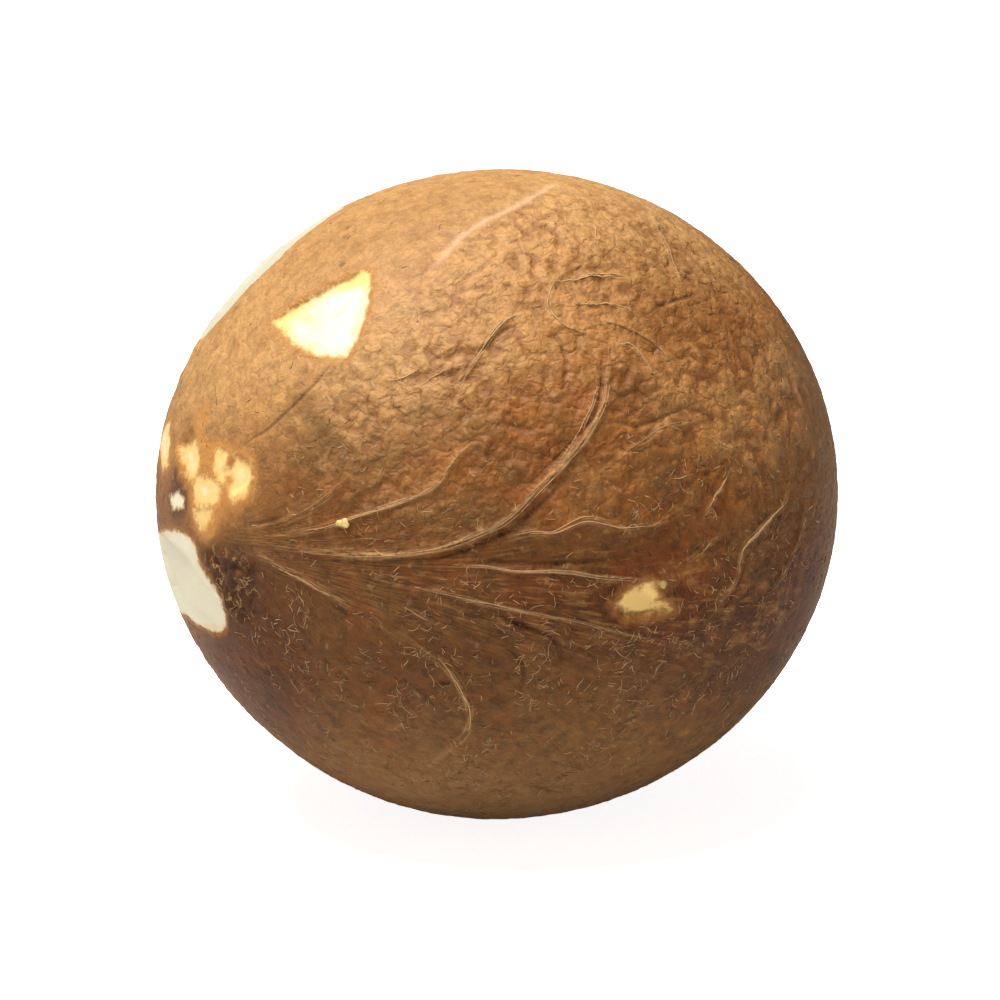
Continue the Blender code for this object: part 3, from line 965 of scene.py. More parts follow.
@dataclass(frozen=True)
class Graph:
    """Adds nodes to a node tree and joins them."""

    tree: NodeTree

    def node(self, kind: str, inputs: dict | None = None, **settings: object) -> Node:
        """A node of a kind, with settings on it, and values or links in its inputs.

        Args:
            kind: the end of its type's name.
            inputs: what goes into each input, by name or number.
            settings: its other properties.

        Returns:
            The node.
        """
        node = self.tree.nodes.new("ShaderNode" + kind)
        for key, value in settings.items():
            setattr(node, key, value)
        for key, value in (inputs or {}).items():
            self.feed(node.inputs[key], value)
        return node

    def value(self, kind: str, inputs: dict, output: int | str = 0, **settings: object) -> Value:
        """One output of a new node."""
        return Value(self, self.node(kind, inputs, **settings).outputs[output])

    def feed(self, target: NodeSocket, value: object) -> None:
        """Links a socket, or sets a plain value.

        Args:
            target: the input.
            value: what goes into it.
        """
        value = getattr(value, "socket", value)
        if isinstance(value, NodeSocket):
            self.tree.links.new(value, target)
        elif isinstance(value, tuple) and target.type == "RGBA":
            target.default_value = (*value, 1.0)[:4]
        else:
            target.default_value = value

    def math(self, operation: str, a: object, b: object = 0.0, clamp: bool = False) -> Value:
        """One sum on two numbers."""
        return self.value("Math", {0: a, 1: b}, operation=operation, use_clamp=clamp)

    def vector_math(self, operation: str, a: object, b: object) -> Value:
        """One sum on two vectors, or on a vector and a number for SCALE."""
        return self.value("VectorMath", {0: a, "Scale" if operation == "SCALE" else 1: b}, operation=operation)

    def mix(self, share: object, a: object, b: object, blend: str = "MIX") -> Value:
        """Two colours mixed.

        Args:
            share: how much of b, 0 to 1.
            a: one colour.
            b: the other.
            blend: how they are mixed.

        Returns:
            The mixed colour.
        """
        node = self.node("Mix", data_type="RGBA", blend_type=blend, clamp_factor=True)
        for socket, value in zip((node.inputs[0], node.inputs[6], node.inputs[7]), (share, a, b)):
            self.feed(socket, value)
        return Value(self, node.outputs[2])

    def tint(self, colour: Value, factor: Value) -> Value:
        """A colour multiplied by one number."""
        return self.mix(1.0, colour, self.value("CombineColor", {0: factor, 1: factor, 2: factor}), "MULTIPLY")

    def measure(self, name: str, output: str = "Fac") -> Value:
        """A measure stored on the mesh."""
        return self.value("Attribute", {}, output, attribute_name=name, attribute_type="GEOMETRY")

    def measures(self, name: str) -> tuple[Value, ...]:
        """The three numbers of a measure that is a vector."""
        parts = self.node("SeparateXYZ", {0: self.measure(name, "Vector")})
        return tuple(Value(self, socket) for socket in parts.outputs)

    def noise(self, place: Value, scale: object, detail: float = 2.0, rough: float = 0.5) -> Value:
        """Noise, 0 to 1, at so many waves a millimetre."""
        return self.value("TexNoise", {"Vector": place, "Scale": scale, "Detail": detail, "Roughness": rough})

    def cells(self, place: Value, scale: object) -> Value:
        """The distance to the nearest of a scatter of points, at so many points a millimetre."""
        return self.value("TexVoronoi", {"Vector": place, "Scale": scale}, "Distance")

    def bent(self, place: Value, scale: object, amount: object) -> Value:
        """Places pushed about by soft noise of a scale, up to half of an amount each way.

        Args:
            place: the places.
            scale: waves a millimetre.
            amount: millimetres.

        Returns:
            The bent places.
        """
        wave = self.value("TexNoise", {"Vector": place, "Scale": scale, "Detail": 1.0}, 1)
        centred = self.vector_math("SUBTRACT", wave, (0.5, 0.5, 0.5))
        return self.vector_math("ADD", place, self.vector_math("SCALE", centred, amount))

    def group(self, tree: NodeTree, *values: object) -> list[Value]:
        """All outputs of a shared group that is fed with values in order."""
        node = self.node("Group", dict(enumerate(values)), node_tree=tree)
        return [Value(self, socket) for socket in node.outputs]


def make_group(name: str, inputs: dict[str, str], outputs: dict[str, str], body: Callable) -> NodeTree:
    """A shader node group.

    Args:
        name: the group's name.
        inputs: socket names and their kinds.
        outputs: the same for what it puts out.
        body: what turns a Graph and the inputs into the outputs.

    Returns:
        The group.
    """
    group = bpy.data.node_groups.new(name, "ShaderNodeTree")
    for direction, sockets in (("INPUT", inputs), ("OUTPUT", outputs)):
        for label, kind in sockets.items():
            group.interface.new_socket(label, in_out=direction, socket_type="NodeSocket" + kind)
    graph = Graph(group)
    source, target = group.nodes.new("NodeGroupInput"), group.nodes.new("NodeGroupOutput")
    results = body(graph, *(Value(graph, socket) for socket in source.outputs[: len(inputs)]))
    for socket, result in zip(target.inputs, results):
        graph.feed(socket, result)
    return group


class Effects:
    """The shader node groups that several finishes share. Each is made once."""

    def __init__(self) -> None:
        """Makes every group."""
        self.place = make_group("place_mm", {"Bend": "Float"}, {"Place": "Vector", "Bent": "Vector"}, self._place)
        lines = {"Across": "Float", "Ahead": "Float", "Fine": "Float"}
        self.strands = make_group("strands", lines, {"Streak": "Float"}, self._strands)
        lumps = {"Lump": "Float", "Small": "Float"}
        self.crumple = make_group("crumple", {"Place": "Vector", "Scale": "Float"}, lumps, self._crumple)
        creases = {"Place": "Vector", "Scale": "Float", "Width": "Float", "Share": "Float"}
        self.creases = make_group("creases", creases, {"Crease": "Float"}, self._creases)

    @staticmethod
    def _place(graph: Graph, bend: Value) -> tuple[Value, ...]:
        """Object coordinates in millimetres, plain and bent by soft noise."""
        place = graph.vector_math("MULTIPLY", graph.value("TexCoord", {}, "Object"), (1000.0, 1000.0, 1000.0))
        return place, graph.bent(place, 0.45, bend)

    @staticmethod
    def _strands(graph: Graph, across: Value, ahead: Value, fine: Value) -> tuple[Value, ...]:
        """Streaks along a line: noise drawn out along the second coordinate and fine across the first."""
        place = graph.value("CombineXYZ", {0: across * fine, 1: ahead * 0.22})
        return (graph.noise(place, 1.0, 2.0, 0.6),)

    @staticmethod
    def _crumple(graph: Graph, place: Value, scale: Value) -> tuple[Value, ...]:
        """Crowded round lumps of two sizes, each one less the square of the distance from its middle.

        Args:
            graph: the tree that gets the nodes.
            place: where, in millimetres.
            scale: lumps a millimetre.

        Returns:
            Both heights.
        """
        bent = graph.bent(place, scale, 2.2)
        aways = [graph.cells(bent, scale * fineness) * 1.2 for fineness in (1.0, 2.3)]
        return tuple((away * away).rest() for away in aways)

    @staticmethod
    def _creases(graph: Graph, place: Value, scale: Value, width: Value, share: Value) -> tuple[Value, ...]:
        """Wandering creases: where one noise passes its middle value, kept only where another is high.

        Args:
            graph: the tree that gets the nodes.
            place: where, in millimetres.
            scale: waves a millimetre.
            width: how wide a crease is, as a share of the noise.
            share: how many are kept.

        Returns:
            1 inside a crease and 0 elsewhere.
        """
        off = (graph.noise(place, scale) - 0.5) / width
        elsewhere = graph.vector_math("ADD", place, (31.0, 17.0, 9.0))
        keep = (graph.noise(elsewhere, scale * 0.7, 1.0) + share).step(0.98, 1.12)
        return (abs(off).step(1.0, 0.1) * keep,)


def new_material(name: str) -> tuple[Material, Graph, Node]:
    """An empty material with a Principled shader.

    Args:
        name: the material's name.

    Returns:
        The material, a Graph on its tree, and the shader.
    """
    material = bpy.data.materials.new(name)
    material.use_nodes = True
    return material, Graph(material.node_tree), material.node_tree.nodes["Principled BSDF"]


def dress(graph: Graph, shader: Node, colour: Value, rough: Value, height: Value, depth: float) -> None:
    """Joins a colour, a roughness and a height to a shader. The bump is depth millimetres high.

    Args:
        graph: the material's tree.
        shader: its Principled shader.
        colour: the base colour.
        rough: the roughness.
        height: what the bump follows.
        depth: the bump's height in millimetres.
    """
    bump = graph.value("Bump", {"Height": height, "Distance": depth * MM, "Strength": 1.0})
    for name, value in (("Base Color", colour), ("Roughness", rough), ("Normal", bump)):
        graph.feed(shader.inputs[name], value)


def rgb(red: int, green: int, blue: int) -> Colour:
    """A colour for a shader from its three parts as a screen shows them, 0 to 255."""
    return tuple((v / 255 / 12.92) if v <= 10 else ((v / 255 + 0.055) / 1.055) ** 2.4 for v in (red, green, blue))


@dataclass
class SkinFinish:
    """The brown seed skin, its veins and fibres, and the flesh where it is pared: coats of colour laid in turn."""

    effects: Effects
    brown: Colour = rgb(156, 98, 41)
    gold: Colour = rgb(196, 147, 90)
    russet: Colour = rgb(150, 84, 33)
    olive: Colour = rgb(130, 91, 45)
    # Painted shade in the dips between lumps.
    valley_shade: Colour = rgb(122, 68, 22)
    # Dark streaks, pores, pits and crust, and the painted shade of creases and vein edges.
    deep: Colour = rgb(74, 40, 14)
    # Pale veins and curls, and the painted highlights on wrinkle crests.
    pale: Colour = rgb(214, 168, 106)
    flesh: Colour = rgb(246, 238, 208)
    honey: Colour = rgb(252, 210, 132)
    amber: Colour = rgb(204, 140, 70)
    rust: Colour = rgb(112, 64, 28)
    bruise: Colour = rgb(96, 64, 46)
    scar: Colour = rgb(236, 188, 146)
    straw: Colour = rgb(180, 126, 68)
    # Darkens where the dim measure says: partly darker tone, partly painted shade.
    umber_tone_and_shade: Colour = rgb(179, 162, 137)
    # The tone of the dusting and of the painted bounce light on the bottom rim.
    dust_and_bounce_tone: Colour = rgb(164, 122, 80)
    warmth: Colour = rgb(255, 234, 200)
    bend: float = 1.6
    lump_fineness: float = 0.42
    roughness: float = 0.5
    specular: float = 0.25
    bump_height: float = 0.18

    def __post_init__(self) -> None:
        """Starts the material, brown all over."""
        self.material, self.graph, self.shader = new_material("kernel_skin")
        self.place, self.bent = self.graph.group(self.effects.place, self.bend)
        self.colour = self.brown

    def make(self) -> Material:
        """The skin's material, from the kernel's measures and noise in millimetres.

        Returns:
            The material.
        """
        dip, leather, matted = self.graph.measures("relief")
        lump, small = self.graph.group(self.effects.crumple, self.bent, self.lump_fineness)
        grain = self.graph.noise(self.bent, 1.2, 3.0, 0.65)
        self._ground(matted)
        streak = self._streaks(matted)
        self._wrinkle_shade(dip, leather, lump, small)
        lines = self._lines()
        self._marks()
        bare = self._flesh()
        relief = lump * (leather * 1.3 + 0.1) + small * (leather * 0.5 + 0.25) + grain * 1.3 + streak * 0.9 + lines
        rough = self.roughness + matted * 0.14 + grain * 0.1
        dress(self.graph, self.shader, self.colour, rough, relief * (bare * 0.85).rest(), self.bump_height)
        self.shader.inputs["Specular IOR Level"].default_value = self.specular
        return self.material

    def _coat(self, share: Value, tone: object, blend: str = "MIX") -> None:
        """Lays a tone over the colour so far, in the share that a measure or noise gives.

        Args:
            share: where and how much.
            tone: the tone.
            blend: how it is mixed.
        """
        self.colour = self.graph.mix(share, self.colour, tone, blend)

    def _ground(self, matted: Value) -> None:
        """Brown, drifting to gold, russet and olive where the tint measure says, darker on the bands and below, with
        some painted shade and painted bounce light.

        Args:
            matted: how matted the skin is.
        """
        gold, russet, olive = self.graph.measures("tint")
        _, dim, dust_and_bounce = self.graph.measures("light")
        drift, other = (self.graph.noise(self.bent, fineness, 2.0, 0.6) for fineness in (0.13, 0.22))
        blotch = self.graph.noise(self.bent, 0.5, 3.0, 0.62)
        speck = self.graph.noise(self.place, 2.2, 2.0, 0.7)
        self._coat((gold + drift * 0.5).step(0.3, 1.1), self.gold)
        greener = olive * 0.6 + drift * 2.2 + (blotch * 0.7 + gold * -0.6)
        self._coat(greener.step(1.4, 1.9) * 0.85, self.olive)
        redder = russet + other * 1.7 + (blotch * 0.7 + gold * -0.35)
        self._coat(redder.step(1.4, 2.05) * 0.85, self.russet)
        uneven = (blotch - 0.5) * (matted * 1.2 + 0.9) + speck * 0.7 + other * 0.3 + 0.5
        low = (self.graph.measures("flow")[2] * 0.24).at_least(matted * 0.2)
        self.colour = self.graph.tint(self.colour, uneven * low.rest())
        # Dimming: partly darker tone, partly painted shade on the right side and underneath.
        self._coat(dim, self.umber_tone_and_shade, "MULTIPLY")
        self._coat(self.graph.measure("warm"), self.warmth, "MULTIPLY")
        # A dusting and painted bounce light, lightening and greying the bottom rim.
        self._coat(dust_and_bounce * (blotch + 0.5), self.dust_and_bounce_tone)

    def _streaks(self, matted: Value) -> Value:
        """Pale and dark streaks that follow the flow, strongest near a band.

        Args:
            matted: how matted the skin is.

        Returns:
            How high the streaks stand.
        """
        ahead, across, band = self.graph.measures("flow")
        near = band.at_least(matted * 0.1 + 0.04)
        heights = []
        for fine, pale in ((1.1, 0.3), (3.0, 0.5)):
            (streak,) = self.graph.group(self.effects.strands, across, ahead, fine)
            self._coat(streak.step(0.52, 0.68) * near * pale, self.straw)
            self._coat(streak.step(0.46, 0.32) * near * 0.6, self.deep)
            heights.append(streak * near)
        return heights[0] + heights[1]

    def _wrinkle_shade(self, dip: Value, leather: Value, lump: Value, small: Value) -> None:
        """Painted shade in the dips between lumps and painted highlights on the crests, stronger where the skin is
        leathery.

        Args:
            dip: the wrinkles in the mesh.
            leather: how leathery the skin is.
            lump: the larger lumps.
            small: the smaller lumps.
        """
        strong = leather.step(0.1, 1.0)
        between = lump.step(0.45, 0.05) * (strong * 0.4 + 0.1)
        fine = small.step(0.4, 0.0) * (strong * 0.2 + 0.15)
        # Painted shade: browner dips in the mesh and between the lumps.
        self._coat((dip.step(-0.1, -0.9) * strong * 0.6).at_least(between.at_least(fine)), self.valley_shade)
        # Painted highlights on the crests.
        self._coat(dip.step(0.2, 0.8) * small.step(0.3, 0.9) * strong * 0.4, self.pale)

    def _lines(self) -> Value:
        """Veins as pale streaks with a painted shadow along the lower edge, and creases as dark lines of painted shade.

        Returns:
            How high the lines stand.
        """
        heights = []
        for layer in Layer:
            across, ahead, shade = self.graph.measures(layer.value)
            (streak,) = self.graph.group(self.effects.strands, across, ahead, 1.5)
            raised, sunk = shade.at_least(0.0), (shade * -1.0).at_least(0.0)
            pale = abs(across).step(1.1, 0.3) * raised * streak.step(0.4, 0.62)
            # Painted shadow along the lower edge of each raised vein.
            lower = abs(across + 1.2).step(0.6, 0.1) * raised * 0.16
            dark = lower.at_least(abs(across).step(1.1, 0.2) * sunk)
            # Painted shade: the veins' lower edges and the cores of creases.
            self._coat(dark * 0.75, self.deep)
            self._coat(pale * 0.75, self.pale)
            heights.append(pale * 0.6 - dark)
        return heights[0] + heights[1]

    def _marks(self) -> None:
        """Pores, pits, crust, the golden and bruised stains and the pale scar."""
        pit, scar, crust = self.graph.measures("marks")
        glow, bruise, _ = self.graph.measures("stain")
        chosen = self.graph.noise(self.place, 0.3, 1.0).step(0.5, 0.62)
        pores = self.graph.cells(self.place, 0.5).step(0.13, 0.06) * chosen
        grain = self.graph.noise(self.place, 0.7, 3.0, 0.65)
        (curl,) = self.graph.group(self.effects.creases, self.place, 0.5, 0.035, crust * 0.4 + 0.2)
        self._coat(pores * 0.55, self.deep)
        self._coat(pit * 0.8, self.deep)
        self._coat(bruise * grain.step(0.25, 0.5), self.bruise)
        self._coat(crust * grain.step(0.3, 0.55) * 0.85, self.deep)
        self._coat(curl * crust * 0.55, self.pale)
        self._coat((glow + grain * 0.8).step(0.6, 1.25) * 0.9, self.amber)
        self._coat(scar * 0.6, self.scar)

    def _flesh(self) -> Value:
        """White flesh and golden under-skin inside the patches.

        Returns:
            How bare of skin each place is, 0 to 1.
        """
        depth, white, rim = self.graph.measures("bare")
        veil, light = self.graph.measures("stain")[2], self.graph.measures("light")[0]
        edge = depth + (self.graph.noise(self.place, 0.8, 3.0, 0.65) - 0.5) * 3.4
        cloud = self.graph.noise(self.place, 0.5, 2.0, 0.6) - 0.5
        self._coat(edge.step(-2.6, -0.1) * 0.75, self.graph.mix(rim, self.rust, self.amber))
        left = white + cloud * 1.3 + edge.step(0.3, 3.4) * 0.6 + -0.35
        flesh = self.graph.mix(self.graph.math("SUBTRACT", left, veil, clamp=True), self.honey, self.flesh)
        # The flesh dimmed patch by patch: partly its own tone, partly painted shade.
        self._coat(edge.step(-0.6, 1.0), self.graph.tint(flesh, light))
        return depth.step(-0.6, 0.6)


@dataclass(frozen=True)
class FibreFinish:
    """Dry pale plant fibre."""

    light: Colour = rgb(208, 164, 110)
    dark: Colour = rgb(116, 76, 40)
    roughness: float = 0.6

    def make(self, effects: Effects) -> Material:
        """The fibres' material: each has its own depth of colour, mottled along it.

        Args:
            effects: the shared node groups.

        Returns:
            The material.
        """
        material, graph, shader = new_material("fibre")
        mottle = graph.noise(graph.group(effects.place, 0.5)[0], 1.4, 3.0, 0.6)
        colour = graph.mix((graph.measure("depth") + mottle * 0.6).step(0.2, 1.2), self.light, self.dark)
        dress(graph, shader, colour, self.roughness + mottle * 0.15, mottle, 0.05)
        return material


@dataclass(frozen=True)
class CrumbFinish:
    """A crumb of dried flesh, yellow-white with browner edges."""

    light: Colour = rgb(246, 212, 134)
    dark: Colour = rgb(190, 126, 54)
    roughness: float = 0.5

    def make(self, effects: Effects) -> Material:
        """The crumb's material: yellow-white, mottled.

        Args:
            effects: the shared node groups.

        Returns:
            The material.
        """
        material, graph, shader = new_material("crumb_flesh")
        mottle = graph.noise(graph.group(effects.place, 0.5)[1], 1.6, 3.0, 0.6)
        colour = graph.mix(mottle.step(0.45, 0.8), self.light, self.dark)
        dress(graph, shader, colour, self.roughness + mottle * 0.2, mottle, 0.1)
        return material


# The pieces


@dataclass(frozen=True)
class BackVeins:
    """The side veins that leave the back band by turns on each side, each a little different."""

    pairs: int = 5
    spacing: float = 19.0
    sweep: tuple[Place, ...] = ((0, 1), (9, 4), (18, 11), (25, 21), (30, 33))
    seed: int = 7

    def lines(self) -> list[Line]:
        """The veins, in the order in which they leave the band.

        Returns:
            One line for each vein.
        """
        draw = random.Random(self.seed)
        band = np.array(BACK_BAND, float).T
        lines = []
        for k in range(2 * self.pairs):
            start = band[0, 0] + self.spacing * k / 2 + draw.uniform(-3, 3)
            spread = (1 if k % 2 else -1) * draw.uniform(0.8, 1.25)
            middle = float(np.interp(start, *band))
            route = tuple((start + ahead, middle + spread * out) for ahead, out in self.sweep)
            lines.append(Line(route, 0.9, 0.4, 0.45, 2, Layer.FIRST if k % 2 else Layer.SECOND))
        return lines


@dataclass
class Kernel:
    """The skin: the surface that stands for the solid, and the fibres that lie on it."""

    form: KernelForm
    grid: BallGrid
    seed: int = 5
    lift: float = 0.02
    flatness: float = 0.7
    shift: Array = field(default_factory=lambda: np.zeros(3))
    strand_steps: int = 42
    strand_radii: Place = (0.07, 0.12)
    fibre_count: int = 5900
    fibre_steps: int = 6
    fibre_bend: float = 0.2
    fibre_radii: Place = (0.045, 0.085)
    crumb_place: Place = (34.5, 76.5)
    crumb_sizes: tuple[float, float, float] = (1.0, 0.6, 0.36)
    crumb_lift: float = 0.12

    def build_skin(self) -> Object:
        """The skin mesh with all its measures, in the place of the solid.

        Returns:
            The piece.
        """
        points, quads = self.grid.build()
        place = self.form.surface(points)
        self.shift = self._shift_to_frame(place)
        piece = make_mesh("kernel_skin", place + self.shift, [quads])
        scar = self.form.reach(points, SCAR.route)
        scar_share = bell(scar.across / SCAR.half_width) * np.clip(scar.share * 1.5 - 0.4, 0, 1)
        bare = self._bare_measure(place)
        measures = {layer.value: self._line_measure(points, layer) for layer in Layer} | {
            "flow": [self.form.flow(points)],
            "tint": [soft_field(points, marks) for marks in (GOLD, RUSSET, OLIVE)],
            "relief": [self.form.wrinkles(points), self.form.leather(points), soft_field(points, MATTED)],
            "marks": [soft_field(points, PITS), scar_share, soft_field(points, CRUST)],
            "stain": [soft_field(points, marks) for marks in (GLOW, BRUISE, VEIL)],
            "bare": [bare[:, :3]],
            # Patch lightness and dimming, partly painted shade, and the dusting, partly painted bounce light.
            "light": [bare[:, 3], soft_field(points, DIM_TONE_AND_SHADE), soft_field(points, DUST_AND_BOUNCE)],
        }
        for name, parts in measures.items():
            add_measure(piece, name, np.column_stack(parts))
        add_measure(piece, "warm", soft_field(points, WARM))
        return piece

    def _shift_to_frame(self, place: Array) -> Array:
        """What moves the ball so that its box is centred on the frame's box and stands on its floor.

        Args:
            place: the skin's points, from the ball's middle.

        Returns:
            The shift.
        """
        low, high = (np.array(corner) / MM for corner in CAD_BOX)
        shift = (low + high) / 2 - (place.min(axis=0) + place.max(axis=0)) / 2
        shift[2] = low[2] - place[:, 2].min()
        return shift

    def _line_measure(self, points: Array, layer: Layer) -> list[Array]:
        """For the nearest line of a layer: how many half widths across, how far along, and its shade there.

        Args:
            points: unit vectors from the kernel's middle.
            layer: whose lines.

        Returns:
            A list of one table, three numbers for each point.
        """
        best = np.full(len(points), 99.0)
        measure = np.tile([FAR, 0.0, 0.0], (len(points), 1))
        for line in (line for line in self.form.lines if line.layer is layer):
            reach = self.form.reach(points, line.route)
            across = reach.across / line.half_width
            shade = line.shade * smoothstep(3.4, 2.4, np.abs(across)) * reach.share
            closer = np.abs(across) < best
            best = np.where(closer, np.abs(across), best)
            measure[closer] = np.column_stack([across, reach.ahead, shade])[closer]
        return [measure]

    def _bare_measure(self, place: Array) -> Array:
        """For the patch that each point is deepest inside: that depth over its softness, white, rim and light.

        Args:
            place: points on the skin.

        Returns:
            Four numbers for each point.
        """
        measure = np.tile([-FAR, 0.0, 0.0, 1.0], (len(place), 1))
        for patch in PATCHES:
            depth = np.clip(self.form.inset(place, patch.corners)[2] / patch.soft, -FAR, FAR)
            closer = depth > measure[:, 0]
            measure[closer, 0] = depth[closer]
            measure[closer, 1:] = (patch.white, patch.rim, patch.light)
        return measure

    def _lay(self, name: str, course: Array, radii: Array, sunk: Array, depth: Array, sides: int) -> Object:
        """Lays tubes over the finished skin.

        Args:
            name: the piece's name.
            course: unit vectors, as tubes by steps by 3.
            radii: half widths, as tubes by steps.
            sunk: how far each point of a tube lies below the skin, as steps.
            depth: the depth of colour of each tube.
            sides: points round each tube.

        Returns:
            The piece.
        """
        flat = course.reshape(-1, 3)
        place = self.form.surface(flat)
        normals = unit(flat / self.form.half_sizes).reshape(course.shape)
        lifted = place.reshape(course.shape) + normals * (self.lift - sunk)[:, None]
        points, faces = tubes(lifted + self.shift, normals, radii, self.flatness, sides)
        piece = make_mesh(name, points, faces)
        add_measure(piece, "depth", np.repeat(depth, course.shape[1] * sides))
        return piece

    def build_strands(self) -> Object:
        """Thin strands along every vein, each wandering inside its width and over its own part of its length.

        Returns:
            The piece.
        """
        draw = np.random.default_rng(self.seed)
        steps = self.strand_steps
        ends = np.sin(np.linspace(0.12, np.pi - 0.12, steps)) ** 0.5
        courses, radii, depths = [], [], []
        for line in (line for line in self.form.lines for _ in range(line.strands)):
            curve = smooth_curve(line.route, 30)
            start, end = draw.uniform(0, 0.35), draw.uniform(0.6, 1.0)
            stops = np.linspace(start, end, steps) * (len(curve) - 1)
            spine = unit(np.column_stack([np.interp(stops, np.arange(len(curve)), part) for part in curve.T]))
            side = unit(np.cross(spine, np.gradient(spine, axis=0)))
            wave = np.sin(np.linspace(0, draw.uniform(4, 12), steps) + draw.uniform(0, 6))
            offset = line.half_width * (draw.uniform(-0.55, 0.55) + 0.2 * wave)
            courses.append(unit(spine + side * offset[:, None] / self.form.radius))
            radii.append(draw.uniform(*self.strand_radii) * ends)
            depths.append(draw.uniform(0.0, 0.45) + (0.3 if line.shade < 0.5 else 0.0))
        sunk = 0.12 * (1 - np.sin(np.linspace(0, np.pi, steps)) ** 0.3)
        return self._lay("vein_strands", np.array(courses), np.array(radii), sunk, np.array(depths), 4)

    def build_fibres(self) -> Object:
        """Short loose fibres, thicker on the ground where the skin is matted, each a curl that turns as it runs.

        Returns:
            The piece.
        """
        draw = np.random.default_rng(self.seed + 1)
        steps = self.fibre_steps
        start = self._fibre_starts(draw)
        count = len(start)
        heading = unit(np.cross(start, draw.normal(size=(count, 3))))
        length = draw.gamma(2.0, 0.6, count) + 0.6
        bend = draw.normal(0, self.fibre_bend, count)
        course = [start]
        for _ in range(steps - 1):
            side = np.cross(course[-1], heading)
            heading = unit(heading + side * (bend + draw.normal(0, self.fibre_bend, count))[:, None])
            course.append(unit(course[-1] + heading * (length / steps / self.form.radius)[:, None]))
            heading = unit(heading - (heading * course[-1]).sum(axis=1)[:, None] * course[-1])
        course = np.stack(course, axis=1)
        course = course[self._clear_of_nicks(course)]
        count = len(course)
        ends = np.sin(np.linspace(0.25, np.pi - 0.25, steps)) ** 0.6
        radii = draw.uniform(*self.fibre_radii, count)[:, None] * ends
        sunk = 0.06 * (1 - np.sin(np.linspace(0, np.pi, steps)))
        return self._lay("loose_fibres", course, radii, sunk, draw.uniform(0.1, 1.0, count), 3)

    def _fibre_starts(self, draw: np.random.Generator) -> Array:
        """Where fibres start: directions drawn evenly, and kept more often where fibres are wanted.

        Args:
            draw: what draws them.

        Returns:
            Their unit vectors.
        """
        start = unit(draw.normal(size=(self.fibre_count * 9, 3)))
        wanted = np.clip(0.1 + 0.5 * blob_field(start, MATTED) + 0.7 * blob_field(start, FUZZY), 0, 1)
        wanted *= 1 - 0.9 * soft_field(start, GOLD)
        wanted *= smoothstep(-0.4, 0.5, Noise(61).layered(start * 7.5, 2))
        wanted *= start[:, 2] > -0.9
        return start[draw.uniform(size=len(start)) < wanted][: self.fibre_count]

    def _clear_of_nicks(self, course: Array) -> Array:
        """Which fibres keep off the pared places, and off the patches where the skin's colour is gone.

        Args:
            course: unit vectors, as fibres by steps by 3.

        Returns:
            Whether each is clear.
        """
        place = course.reshape(-1, 3) * self.form.half_sizes
        clear = (self.form.pared(place)[1] < -0.4) & (self._bare_measure(place)[:, 0] < -1.0)
        return clear.reshape(course.shape[:2]).all(axis=1)

    def build_crumb(self) -> Object:
        """A crumb of flesh stuck to the skin: a flattened lump, its radius a sum of waves of its two angles.

        Returns:
            The piece.
        """
        middle = directions([self.crumb_place])[0]
        outward = unit(middle / self.form.half_sizes)
        forward = unit(np.cross(outward, (0.35, 0.2, 1.0)))
        rows, columns = 14, 20
        tilt = np.linspace(0.02, np.pi - 0.02, rows)[:, None]
        turn = np.arange(columns)[None] * 2 * np.pi / columns
        wobble = 1 + 0.2 * np.sin(3 * turn + 1) * np.sin(tilt) + 0.12 * np.cos(5 * turn + 2 * tilt)
        ahead, across, up = self.crumb_sizes
        parts = (ahead * np.sin(tilt) * np.cos(turn), across * np.sin(tilt) * np.sin(turn), up * np.cos(tilt))
        axes = (forward, np.cross(outward, forward), outward)
        shape = sum((part * wobble)[..., None] * axis for part, axis in zip(parts, axes))
        place = self.form.surface(middle[None])[0] + self.crumb_lift * outward + self.shift
        index = np.arange(rows * columns).reshape(rows, columns)
        after = np.roll(index, -1, axis=1)
        walls = np.stack([index[:-1], index[1:], after[1:], after[:-1]], -1).reshape(-1, 4)
        return make_mesh("crumb", (place + shape).reshape(-1, 3), [walls, index[:1], index[-1:, ::-1]])


# The studio


